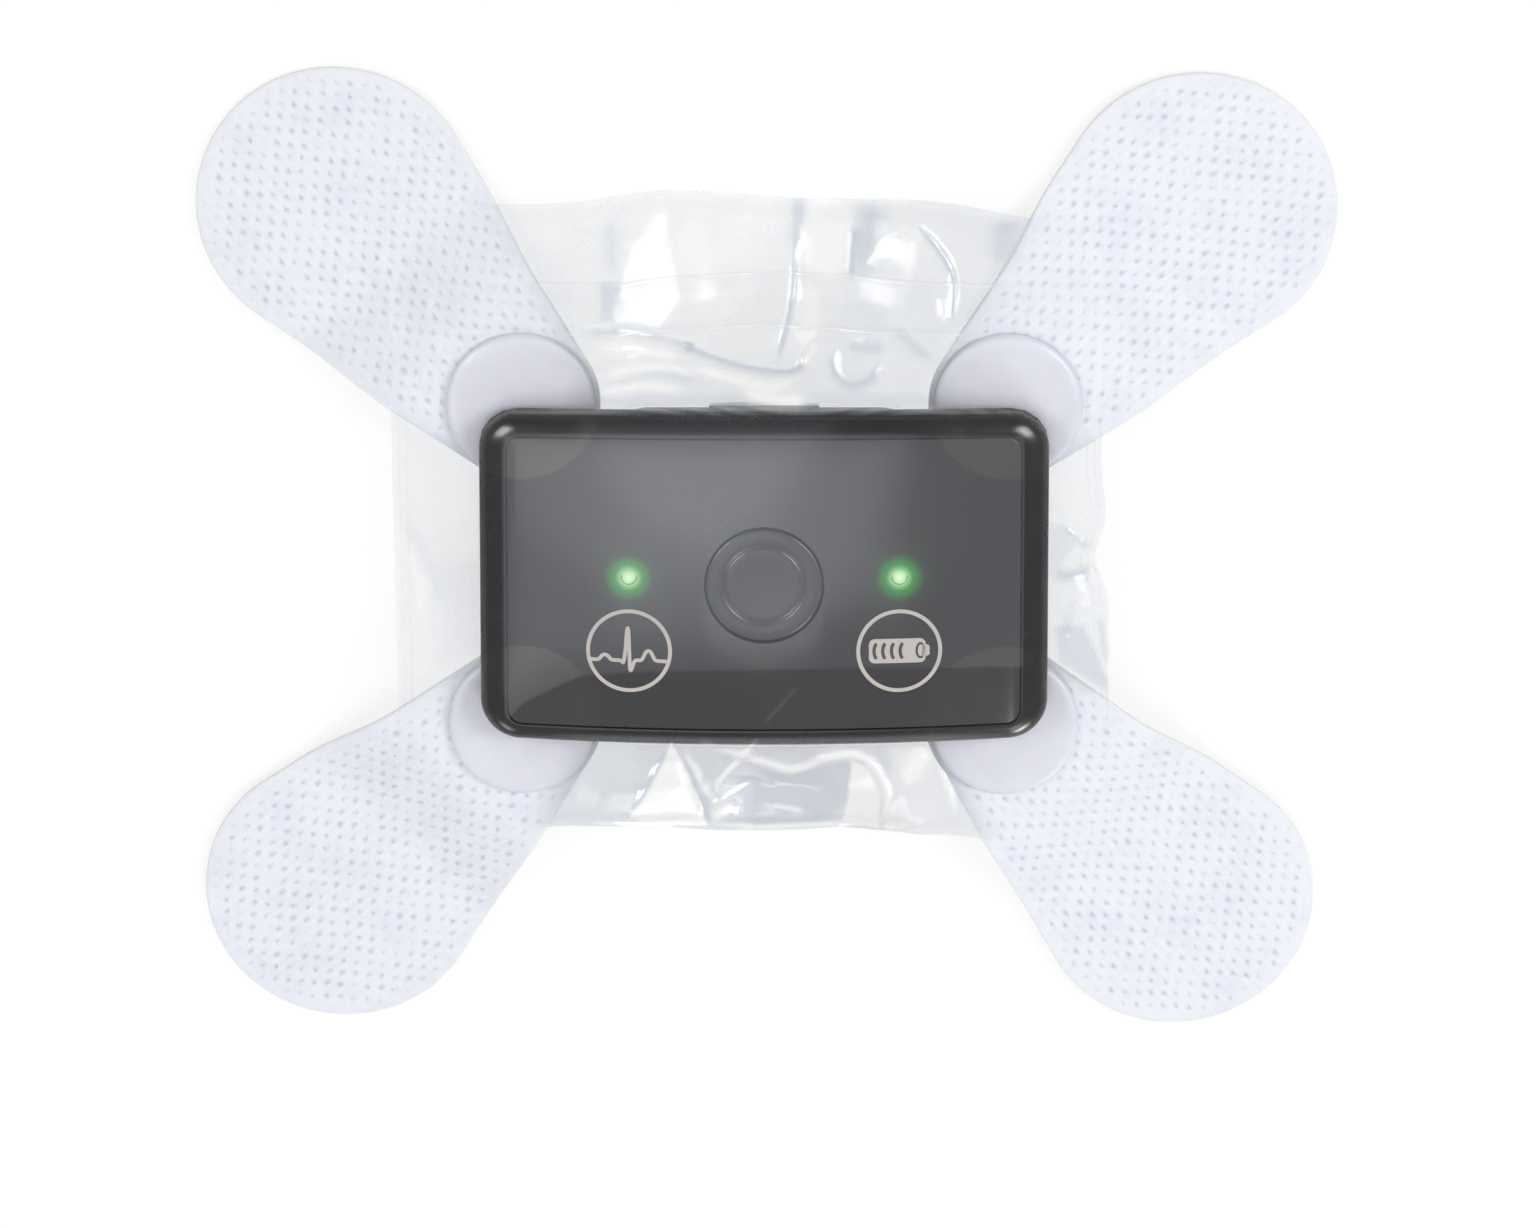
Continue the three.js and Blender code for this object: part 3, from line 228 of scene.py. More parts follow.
class PouchSettings(bpy.types.PropertyGroup):
    """Shape and colour of the clear film pouch."""

    columns: IntProperty(name="Columns", description="Mesh cells along the pouch", default=260, min=20)
    rows: IntProperty(name="Rows", description="Mesh cells across the pouch", default=240, min=20)
    film_colour: colour("Film colour", "Colour of the haze in the clear film", (0.62, 0.67, 0.75))


class StageSettings(bpy.types.PropertyGroup):
    """The camera, the lamps and the floor."""

    tilt: FloatProperty(
        name="Camera tilt",
        description="How far the camera leans from straight above",
        default=math.radians(18.7),
        unit="ROTATION",
    )
    distance: length("Camera distance", "From the recorder to the camera", 1900)
    frame_width: length("Frame width", "Width of the picture at the recorder", 240)
    aim: FloatVectorProperty(
        name="Aim", description="Where the camera points", default=(mm(0.6), mm(-11.5), 0), unit="LENGTH"
    )
    floor_size: length("Floor size", "Length of the floor's sides", 3000)


# Work by hand: selecting, shaping and finishing


def hold(piece, *others):
    """Selects a piece, and others with it, and nothing else."""
    bpy.ops.object.select_all(action="DESELECT")
    for each in (piece, *others):
        each.select_set(True)
    bpy.context.view_layer.objects.active = piece
    return piece


def add(name, primitive, **settings):
    """Adds a primitive, with its place kept in its mesh."""
    bpy.ops.object.select_all(action="DESELECT")
    primitive(**settings)
    piece = bpy.context.active_object
    piece.name = piece.data.name = name
    bpy.ops.object.transform_apply(location=True, rotation=True, scale=True)
    return piece


def edit(piece):
    """Goes to edit mode with everything selected."""
    hold(piece)
    bpy.ops.object.mode_set(mode="EDIT")
    bpy.ops.mesh.select_all(action="SELECT")


def pick(piece, kind, test):
    """Goes to edit mode with the vertices, edges or faces selected that pass a test."""
    hold(piece)
    bpy.ops.object.mode_set(mode="EDIT")
    bpy.ops.mesh.select_mode(type=kind)
    bpy.ops.mesh.select_all(action="DESELECT")
    bpy.ops.object.mode_set(mode="OBJECT")
    mesh = piece.data
    parts = {"VERT": mesh.vertices, "EDGE": mesh.edges, "FACE": mesh.polygons}[kind]
    found = [part for part in parts if test(part)]
    if not found:
        raise RuntimeError(f"{piece.name}: nothing to select")
    for part in found:
        part.select = True
    bpy.ops.object.mode_set(mode="EDIT")


def done():
    bpy.ops.object.mode_set(mode="OBJECT")


def ends(piece, edge):
    return [piece.data.vertices[index].co for index in edge.vertices]


def modify(piece, kind, **settings):
    """Gives a piece a modifier and applies it."""
    made = piece.modifiers.new(kind, kind)
    for name, value in settings.items():
        setattr(made, name, value)
    hold(piece)
    bpy.ops.object.modifier_apply(modifier=made.name)


def carve(piece, tool, operation="DIFFERENCE"):
    """Cuts a tool out of a piece, or joins it, and takes the tool away."""
    modify(piece, "BOOLEAN", operation=operation, object=tool, solver="EXACT")
    bpy.data.objects.remove(tool)


def reshape(piece, place):
    """Moves every vertex to where a function puts it."""
    for vertex in piece.data.vertices:
        vertex.co = place(vertex.co)
    piece.data.update()


def nudge(piece, x, y=0):
    """Moves a piece's mesh in plan."""
    reshape(piece, lambda co: co + Vector((x, y, 0)))


def slice_at(piece, axis, places):
    """Cuts a mesh with flat planes square to an axis, so that it can bend between them."""
    normal = Vector((0, 0, 0))
    normal[axis] = 1
    edit(piece)
    for place in places:
        bpy.ops.mesh.select_all(action="SELECT")
        bpy.ops.mesh.bisect(plane_co=normal * place, plane_no=normal)
    done()


def copy_of(piece, name):
    made = piece.copy()
    made.data = piece.data.copy()
    made.name = made.data.name = name
    bpy.context.scene.collection.objects.link(made)
    return made


def round_edges(piece, height, width, steps, spare=mm(0.003)):
    """Bevels the edges at a height, or no further from it than the spare."""

    def at_height(edge):
        return all(abs(end.z - height) <= spare for end in ends(piece, edge))

    pick(piece, "EDGE", at_height)
    bpy.ops.mesh.bevel(offset=width, segments=steps, affect="EDGES")
    done()


def slab(name, half_x, half_y, radius, low, high, steps=8):
    """A slab with round corners: a cube whose upright edges are bevelled."""
    size = (2 * half_x, 2 * half_y, high - low)
    piece = add(name, bpy.ops.mesh.primitive_cube_add, size=1, location=(0, 0, (low + high) / 2), scale=size)

    def upright(edge):
        a, b = ends(piece, edge)
        return abs(a.z - b.z) > (high - low) / 2

    pick(piece, "EDGE", upright)
    bpy.ops.mesh.bevel(offset=radius, segments=steps, affect="EDGES")
    done()
    return piece


def post(name, radius, low, high, x=0, y=0, steps=48):
    return add(
        name,
        bpy.ops.mesh.primitive_cylinder_add,
        vertices=steps,
        radius=radius,
        depth=high - low,
        location=(x, y, (low + high) / 2),
    )


def rings(radius, height, *offsets):
    """Pairs of radius and height, from offsets in millimetres to a radius and a height in metres."""
    return [(radius + mm(out), height + mm(up)) for out, up in offsets]


def turned(name, profile, x=0, y=0, steps=48):
    """A round piece: a disc that is extruded up through pairs of radius and height."""
    (radius, height), *rest = profile
    circle = {"vertices": steps, "radius": radius, "fill_type": "NGON", "location": (x, y, height)}
    piece = add(name, bpy.ops.mesh.primitive_circle_add, **circle)
    bpy.ops.object.mode_set(mode="EDIT")
    bpy.ops.mesh.select_mode(type="FACE")
    bpy.ops.mesh.select_all(action="SELECT")
    for new_radius, new_height in rest:
        bpy.ops.mesh.extrude_region_move(TRANSFORM_OT_translate={"value": (0, 0, new_height - height)})
        share = new_radius / radius
        bpy.ops.transform.resize(value=(share, share, 1), center_override=(x, y, new_height))
        radius, height = new_radius, new_height
    bpy.ops.mesh.select_all(action="SELECT")
    bpy.ops.mesh.normals_make_consistent(inside=False)
    done()
    return piece


def dress(piece, material, body, slot, *stands_for, angle=35):
    """Gives a finished piece its material, its shading and its body. Its slot is not used."""
    piece.data.materials.clear()
    piece.data.materials.append(material)
    hold(piece)
    if angle is None:
        bpy.ops.object.shade_smooth()
    else:
        bpy.ops.object.shade_smooth_by_angle(angle=math.radians(angle))
    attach(piece, body)
    if stands_for:
        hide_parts(*stands_for)
    return piece


def softened(node, name, width):
    """A copy of a CAD node with its doubles merged and its sharp edges rounded."""
    piece = copy_of(frame["nodes"][node], name)
    for key in [key for key in piece.keys() if key.startswith("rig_")]:
        del piece[key]
    piece.parent = None
    edit(piece)
    bpy.ops.mesh.remove_doubles(threshold=mm(0.001))
    bpy.ops.mesh.dissolve_limited(angle_limit=math.radians(1))
    done()
    if width:
        modify(piece, "BEVEL", width=width, segments=2, limit_method="ANGLE", angle_limit=math.radians(50))
    return piece


# Finishes


def seen_rays(nodes):
    """1 for what the camera sees, straight or through glass."""
    light_path = nodes.node("LightPath").socket.node
    rays = ("Is Camera Ray", "Is Transmission Ray")
    camera, through = (Wire(nodes, light_path.outputs[name]) for name in rays)
    return camera.most(through)


def moulded_plastic(name, tint, roughness, grain=mm(0.35), depth=mm(0.003), **constants):
    """Moulded plastic with a fine spark grain, faint flow marks and a little handling wear."""
    paint = Paint(name, specular_ior_level=0.45, **constants)
    place = paint.place()
    fine = paint.grain(place, grain, 3)
    cloud = paint.grain(place, mm(14), 3)
    worn = paint.grain(place, mm(4), 5, 0.7).between(0.52, 0.75)
    lighter = [min(1, value * 1.5 + 0.006) for value in tint]
    paint.set(
        base_color=paint.mix(cloud * 0.5 + worn * 0.25, tint, lighter),
        roughness=roughness + (cloud - 0.5) * 0.12 + worn * 0.05 + (fine - 0.5) * 0.08,
        normal=paint.bump(fine, depth),
    )
    return paint.material


def bright_metal(name, tint, roughness):
    """Plated metal with turning marks and dull spots."""
    paint = Paint(name, metallic=1)
    place = paint.place()
    marks = paint.grain(place, mm(0.12), 4, 0.7)
    dull = paint.grain(place, mm(1.6), 4).between(0.45, 0.7)
    darker = [value * 0.72 for value in tint]
    paint.set(
        base_color=paint.mix(dull, tint, darker),
        roughness=roughness + dull * 0.15 + (marks - 0.5) * 0.12,
        normal=paint.bump(marks, mm(0.004)),
    )
    return paint.material


def circuit_board(name):
    """Green lacquer over copper tracks, with the glass weave just showing."""
    paint = Paint(name, coat_roughness=0.2)
    across, along, _ = paint.place().parts()
    tracks = ((across * 2400).wave().most((along * 2100).wave())).between(0.8, 0.95)
    cloud = paint.grain(paint.place(), mm(5), 3)
    weave = (across * 9000).wave() * (along * 9000).wave()
    green = paint.mix(cloud, (0.012, 0.09, 0.04), (0.02, 0.13, 0.06))
    paint.set(
        base_color=paint.mix(tracks * 0.5, green, (0.06, 0.24, 0.10)),
        roughness=0.38 + (cloud - 0.5) * 0.15,
        coat_weight=0.3 + tracks * 0.3,
        normal=paint.bump(tracks * 0.8 + weave * 0.1, mm(0.02)),
    )
    return paint.material


def cell_foil(name):
    """The battery's embossed aluminium foil."""
    paint = Paint(name, metallic=0.85)
    across, along, _ = paint.place().parts()
    pattern = (across * 5200).wave() * (along * 5200).wave()
    cloud = paint.grain(paint.place(), mm(3), 4)
    paint.set(
        base_color=paint.mix(cloud, (0.52, 0.53, 0.55), (0.72, 0.73, 0.75)),
        roughness=0.36 + (cloud - 0.5) * 0.3,
        normal=paint.bump(pattern * 0.3 + cloud, mm(0.02)),
    )
    return paint.material


def lamp_glow(paint, tint, side, height):
    """The light of the two lamps, from its pale middle to the faint green glow on the label round it."""
    across, along, _ = paint.place().parts()
    off_middle = abs(across) - side
    away = (off_middle * off_middle + (along - height) * (along - height)).root()
    wide = 1 - away.between(0, mm(9))
    glow = (1 - away.between(mm(1), mm(4.3))) * 0.92 + wide * wide * 0.14
    return paint.mix(1 - away.between(0, mm(2.3)), paint.mix(glow, (0, 0, 0), tint), (0.66, 0.90, 0.56))


def label_finish(settings, side, height):
    """Semi-gloss label film: fine matt print with the glow of the two lights on it."""
    paint = Paint("label_finish", specular_ior_level=0.45, emission_strength=1)
    place = paint.place()
    fine = paint.grain(place, mm(0.3), 3)
    cloud = paint.grain(place, mm(18), 3)
    lighter = [value * 1.35 for value in settings.label_colour]
    paint.set(
        base_color=paint.mix(cloud * 0.5 + (fine - 0.5) * 0.12, settings.label_colour, lighter),
        roughness=0.17 + (cloud - 0.5) * 0.06 + (fine - 0.5) * 0.02,
        normal=paint.bump(fine, mm(0.0003)),
        emission_color=lamp_glow(paint, settings.light_colour, side, height),
    )
    return paint.material


def printed_ink(name, tint):
    """Screen-printed ink, a little uneven at its edges."""
    paint = Paint(name)
    fine = paint.grain(paint.place(), mm(0.15), 4, 0.7)
    worn = paint.grain(paint.place(), mm(0.9), 3)
    darker = [value * 0.8 for value in tint]
    paint.set(
        base_color=paint.mix(fine * 0.5 + worn * 0.5, tint, darker),
        roughness=0.42 + fine * 0.15,
        normal=paint.bump(fine, mm(0.004)),
    )
    return paint.material


def lit_lens(name, tint, side, height):
    """A clear light guide with the lamp's light in its middle."""
    paint = Paint(name, emission_strength=1, specular_ior_level=0.3)
    streak = paint.grain(paint.place(), mm(0.25), 3)
    paint.set(
        base_color=paint.mix(streak, (0.05, 0.07, 0.05), (0.08, 0.10, 0.08)),
        roughness=0.25 + streak * 0.1,
        emission_color=lamp_glow(paint, tint, side, height),
        normal=paint.bump(streak, mm(0.005)),
    )
    return paint.material


def nonwoven(settings):
    """Spun-laid nonwoven with a square lattice of small slanted bonding dots."""
    paint = Paint("nonwoven_finish", specular_ior_level=0.2, sheen_weight=0.3, sheen_roughness=0.6)
    place = paint.flat()
    shift = paint.node("TexNoise", {"Vector": place, "Scale": 1 / mm(6), "Detail": 2}, output=1)
    moved = paint.node("VectorMath", {0: shift, 1: (mm(0.9), mm(0.9), 0), 2: place}, operation="MULTIPLY_ADD")
    across, along, _ = moved.parts()
    slant = paint.attribute("slant")
    edge = paint.attribute("edge")
    turn = math.radians(-5)

    def off(value):
        """How far a value lies from the middle of its lattice cell."""
        share = value / settings.dot_pitch
        return (share - share.nearest()) * settings.dot_pitch

    x = off(across * math.cos(turn) + along * math.sin(turn))
    y = off(along * math.cos(turn) - across * math.sin(turn))
    lengthwise = (x + slant * y) * math.sqrt(0.5)
    sideways = (y - slant * x) * math.sqrt(0.5)
    first = lengthwise / (settings.dot_length / 2)
    second = sideways / (settings.dot_width / 2)
    away = (first * first + second * second).root()
    fibres = paint.grain(place, mm(0.16), 5, 0.75)
    clumps = paint.grain(place, mm(1.5), 4, 0.6)
    cloud = paint.grain(place, mm(9), 4, 0.6)
    strength = paint.grain(place, mm(2.6), 3, 0.7).between(0.32, 0.62) * edge.between(mm(0.8), mm(2.6))
    dot = (1 - away.between(0.35, 1.3)) * (0.25 + strength * 0.75) * (strength * 1.1 + 0.6).least(1)
    dip = 1 - away.between(0.2, 2.4)
    # The cut edge is painted white: painted light that lifts the sheet's side wall out of its shade.
    wall = 1 - edge.between(0, mm(0.2))
    bluer = (0.60, 0.62, 0.84)
    shade = dot * 0.72 + (clumps - 0.5) * 0.55 + (0.55 - cloud) * 0.75 + (fibres - 0.5) * 0.35
    tone = paint.mix(shade.most(0).least(1), settings.sheet_colour, bluer)
    paint.set(
        base_color=paint.mix(wall, tone, (1.0, 1.0, 1.0)),
        roughness=0.85 - dot * 0.25,
        normal=paint.bump(fibres * 0.25 + clumps * 0.4 - dip * strength * 1.3 + cloud * 0.6, mm(0.2)),
    )
    return paint.material


def translucent_disc(settings):
    """Milky plastic with faint moulding swirls."""
    paint = Paint("disc_finish", specular_ior_level=0.4, coat_roughness=0.25)
    place = paint.place()
    cloud = paint.grain(place, mm(7), 3)
    fine = paint.grain(place, mm(0.5), 3)
    bluer = [value * 0.86 for value in settings.disc_colour]
    paint.set(
        base_color=paint.mix(cloud * 0.7 + (fine - 0.5) * 0.2, settings.disc_colour, bluer),
        roughness=0.42 + (cloud - 0.5) * 0.1,
        coat_weight=0.15 + cloud * 0.1,
        normal=paint.bump(fine, mm(0.006)),
        alpha=0.93 - (cloud - 0.5) * 0.08,
    )
    return paint.material


def clear_film(name, tint, width=0):
    """Thin clear film. The pouch's has a width, seams, and attributes that say how hazy its folds are, what
    painted highlight and painted shade they carry, and what lies under them. The release liners' has none of
    these."""
    paint = Paint(name, specular_ior_level=0.4, coat_roughness=0.08)
    place = paint.flat()
    fine = paint.grain(place, mm(1.3), 3, 0.6)
    cloud = paint.grain(place, mm(12), 3)
    darker = [value * 0.6 for value in tint]
    if width:
        across, _, _ = place.parts()
        haze = paint.attribute("haze")
        glare = paint.attribute("glare")
        bare = paint.attribute("apart").between(-mm(0.1), mm(0.2))
        off = paint.attribute("beside").between(-mm(0.1), mm(0.15))
        edge = across.least(width - across)
        outer, inner = (1 - abs(edge - far).between(0, mm(0.22)) for far in (mm(1.1), mm(2.3)))
        seam = outer.most(inner)
        hazy = (haze + seam * 0.05) * (0.85 + cloud * 0.3) + (fine - 0.5) * 0.05
        over_sheet = 0.035 + (fine - 0.5) * 0.02 + (haze - 0.2).most(0) * 0.1
        # Over the label the film's haze also lays a painted highlight on the dark panel, lighter towards its
        # upper left.
        over_label = 0.012 + (haze - 0.2).most(0) * 0.5 + (cloud - 0.5) * 0.01
        veil = ((hazy * bare + over_sheet * (1 - bare)) * off + over_label * (1 - off)).most(0).least(0.95)
        # Painted light: the film's tone goes to white where it carries a painted highlight and to the darker
        # tint where it carries painted shade; over the sheets it stays white.
        shade = (glare - seam * 0.12).most(1 - bare)
        shaded = paint.mix((-shade).most(0).least(1), tint, darker)
        tone = paint.mix(shade.most(0).least(1), shaded, (1.0, 1.0, 1.0))
        calm = off * 0.98 + 0.02
    else:
        veil = 0.45 + (cloud - 0.5) * 0.2 + (fine - 0.5) * 0.1
        tone = paint.mix(cloud, tint, (0.9, 0.9, 0.92))
        calm = 1
    paint.set(
        base_color=tone,
        roughness=0.17 + cloud * 0.08,
        coat_weight=0.15 + cloud * 0.15,
        normal=paint.bump((fine * 0.5 + cloud) * calm, mm(0.10)),
        alpha=veil,
    )
    return paint.material


def soft_gel(name):
    paint = Paint(name, specular_ior_level=0.5, coat_roughness=0.1)
    cloud = paint.grain(paint.place(), mm(4), 4)
    paint.set(
        base_color=paint.mix(cloud, (0.62, 0.76, 0.82), (0.74, 0.84, 0.88)),
        roughness=0.12 + cloud * 0.12,
        coat_weight=0.5 + cloud * 0.2,
        normal=paint.bump(cloud, mm(0.1)),
    )
    return paint.material


# The stage


class RECORDER_OT_stage(bpy.types.Operator):
    """Sets up the camera, the lamps, the pale floor and the world"""

    bl_idname = "recorder.stage"
    bl_label = "Stage"

    # Each lamp's name, place, aim, width, height and power, and True where it only gleams
    lamps = (
        ("top_box", (-0.12, -0.19, 1.10), (-0.12, 0, 0.02), 0.60, 0.58, 1.3),
        ("left_box", (-0.64, 0.27, 0.84), (0, 0, 0), 0.34, 0.34, 1.6),
        ("right_box", (0.66, 0.27, 0.84), (0, 0, 0), 0.38, 0.38, 3.5),
        ("front_box", (0.46, -0.84, 0.68), (0, 0, 0), 0.26, 0.26, 1.5),
        ("key_gleam", (-0.10, -0.15, 1.06), (-0.10, 0, 0.02), 0.26, 0.40, 0.35, True),
        ("left_gleam", (-0.80, 0.42, 0.66), (0, 0, 0), 0.52, 0.52, 10.5, True),
        ("right_gleam", (0.82, 0.42, 0.66), (0, 0, 0), 0.52, 0.52, 9.5, True),
        ("front_gleam", (0.58, -1.02, 0.24), (0, 0, 0), 0.36, 0.26, 7, True),
        ("low_gleam", (-0.60, -0.92, 0.40), (0, 0, 0), 0.30, 0.30, 2, True),
    )

    def camera(self, scene, settings):
        tilt = settings.tilt
        aim = Vector(settings.aim)
        place = aim + settings.distance * Vector((0, math.sin(tilt), math.cos(tilt)))
        bpy.ops.object.camera_add(location=place, rotation=(-tilt, 0, 0))
        camera = bpy.context.active_object
        camera.name = "camera"
        camera.data.sensor_width = SENSOR_WIDTH
        camera.data.lens = SENSOR_WIDTH * settings.distance / settings.frame_width
        camera.data.clip_start = 0.01
        camera.data.clip_end = 50
        scene.camera = camera

    def lamp(self, name, place, target, size, height, power, gleam=False):
        """A soft box. One that gleams shows in shiny surfaces only and lights nothing else."""
        bpy.ops.object.light_add(type="AREA", location=place)
        lamp = bpy.context.active_object
        lamp.name = name
        lamp.data.shape = "RECTANGLE"
        lamp.data.size = size
        lamp.data.size_y = height
        lamp.data.energy = power
        away = Vector(place) - Vector(target)
        lamp.rotation_euler = away.to_track_quat("Z", "Y").to_euler()
        lamp.visible_diffuse = not gleam

    def execute(self, context):
        scene = context.scene
        settings = scene.recorder_stage
        scene.view_settings.view_transform = "Standard"
        self.camera(scene, settings)
        for lamp in self.lamps:
            self.lamp(*lamp)

        below = (0, 0, -mm(0.1))
        floor = add("floor", bpy.ops.mesh.primitive_plane_add, size=settings.floor_size, location=below)
        paint = Paint("floor_finish", roughness=0.9, specular_ior_level=0)
        cloud = paint.grain(paint.place(), 0.05, 2)
        paint.set(base_color=paint.mix(cloud, (0.80, 0.80, 0.80), (0.82, 0.82, 0.82)))
        plain = paint.node("BsdfDiffuse", {"Color": (0.30, 0.30, 0.30, 1)})
        bright = paint.node("Emission", {"Color": (1, 1, 1, 1), "Strength": 0.76})
        pale = paint.node("AddShader", {0: plain, 1: bright})
        lit = Wire(paint, paint.shader.outputs[0])
        shown = paint.node("MixShader", {0: seen_rays(paint), 1: lit, 2: pale})
        paint.feed(paint.tree.nodes["Material Output"].inputs["Surface"], shown)
        floor.data.materials.append(paint.material)

        world = bpy.data.worlds.new("studio")
        world.use_nodes = True
        scene.world = world
        sky = Nodes(world.node_tree)
        backdrop = sky.tree.nodes["Background"]
        fill = sky.node("Background", {"Color": (1, 1, 1, 1), "Strength": 0.50})
        backdrop.inputs["Color"].default_value = (1, 1, 1, 1)
        backdrop.inputs["Strength"].default_value = 1
        shown = sky.node("MixShader", {0: seen_rays(sky), 1: fill, 2: Wire(sky, backdrop.outputs[0])})
        sky.feed(sky.tree.nodes["World Output"].inputs["Surface"], shown)
        return {"FINISHED"}


# The recorder


# Heights of the housing when flat, from the table up, and its other fixed sizes
PARTING = mm(16.9)
WALL_FOOT = mm(13.4)
BEZEL_FOOT = mm(17.4)
LIP = mm(20.4)
LABEL_TOP = mm(20.3)
SEAT = mm(19.8)
CEILING = mm(18.3)
HALF_LENGTH = mm(44)
HALF_WIDTH = mm(26.4)
RIM_WIDTH = mm(2.4)
INNER_CORNER = mm(3.6)
KEY_RADIUS = mm(9)
KEY_GAP = mm(0.3)
BOSS_FOOT = mm(14.1)
BOSS_RADIUS = mm(2.3)
PILOT_RADIUS = mm(1.05)
SCREW_PLACE = (mm(38.5), mm(8))
SOCKET_RADIUS = mm(0.85)
SOCKET_DEPTH = mm(0.6)
LIGHT_PLACE = (mm(20.9), mm(1.05))
LIGHT_HOLE_RADIUS = mm(1.25)


class Crown:
    """The front's crown across its length, and the bow of its long sides."""

    def __init__(self, settings):
        self.bulge = settings.bulge
        self.radius = (HALF_LENGTH**2 + settings.crown_rise**2) / (2 * settings.crown_rise)

    def drop(self, x):
        return self.radius - math.sqrt(self.radius**2 - x * x)

    def place(self, co):
        bow = self.bulge / HALF_WIDTH * (1 - (co.x / HALF_LENGTH) ** 2)
        return Vector((co.x, co.y * (1 + bow), co.z - self.drop(co.x)))

    def over(self, piece):
        slice_at(piece, 0, [mm(2 * step) for step in range(-21, 22)])
        reshape(piece, self.place)


def open_holes(piece):
    """Cuts the holes of the event key and of the two light guides."""
    top = LIP + mm(1)
    carve(piece, post("key_hole", KEY_RADIUS + KEY_GAP, PARTING, top, steps=96))
    side, y = LIGHT_PLACE
    for x in (-side, side):
        carve(piece, post("light_hole", LIGHT_HOLE_RADIUS, PARTING, top, x, y, 32))


class RECORDER_OT_cover(bpy.types.Operator):
    """Moulds the crowned front cover with its rounded bezel and the seat of its label"""

    bl_idname = "recorder.cover"
    bl_label = "Front cover"

    def execute(self, context):
        settings = context.scene.recorder_housing
        crown = Crown(settings)
        rise = LIP - BEZEL_FOOT
        cover = slab("cover_moulding", HALF_LENGTH, HALF_WIDTH, settings.corner_radius, PARTING, LIP, 12)
        round_edges(cover, LIP, rise, 12, mm(0.012))
        straight = (HALF_LENGTH - settings.corner_radius, HALF_WIDTH - settings.corner_radius)

        def drawn_in(co):
            """From the bevel's own inset to the bezel's, which is wider at the ends."""
            inward = 1 - math.sqrt(max(0, 1 - max(0, (co.z - BEZEL_FOOT) / rise) ** 2))
            old = settings.corner_radius - rise * inward
            new = settings.corner_radius - (settings.corner_radius - settings.label_corner) * inward
            half_x = HALF_LENGTH - settings.bezel_length * inward
            half_y = HALF_WIDTH - settings.bezel_width * inward
            moved = co.copy()
            for axis, half in enumerate((half_x, half_y)):
                beyond = max(0, abs(co[axis]) - straight[axis]) / old
                moved[axis] = math.copysign(half - new + new * beyond, co[axis])
            return moved

        reshape(cover, drawn_in)
        pick(cover, "FACE", lambda face: face.normal.z > 0.999 and face.center.z > LIP - mm(0.01))
        bpy.ops.mesh.extrude_region_move(TRANSFORM_OT_translate={"value": (0, 0, SEAT - LIP)})
        done()
        round_edges(cover, LIP, mm(0.1), 2)
        round_edges(cover, PARTING, mm(0.25), 3)

        half_x, half_y = HALF_LENGTH - RIM_WIDTH, HALF_WIDTH - RIM_WIDTH
        inner = slab("cutter", half_x, half_y, INNER_CORNER, PARTING - mm(1), CEILING, 6)
        round_edges(inner, CEILING, mm(1.3), 3, mm(0.012))
        carve(cover, inner)
        for x in (-SCREW_PLACE[0], SCREW_PLACE[0]):
            for y in (-SCREW_PLACE[1], SCREW_PLACE[1]):
                foot = BOSS_FOOT + crown.drop(x)
                carve(cover, post("boss", BOSS_RADIUS, foot, CEILING + mm(0.7), x, y, 32), "UNION")
                carve(cover, post("pilot", PILOT_RADIUS, foot - mm(1), CEILING + mm(0.4), x, y, 24))
        open_holes(cover)
        crown.over(cover)
        material = moulded_plastic("housing_finish", settings.shell_colour, 0.25)
        dress(cover, material, "recorder", "housing", "front_shell")
        return {"FINISHED"}


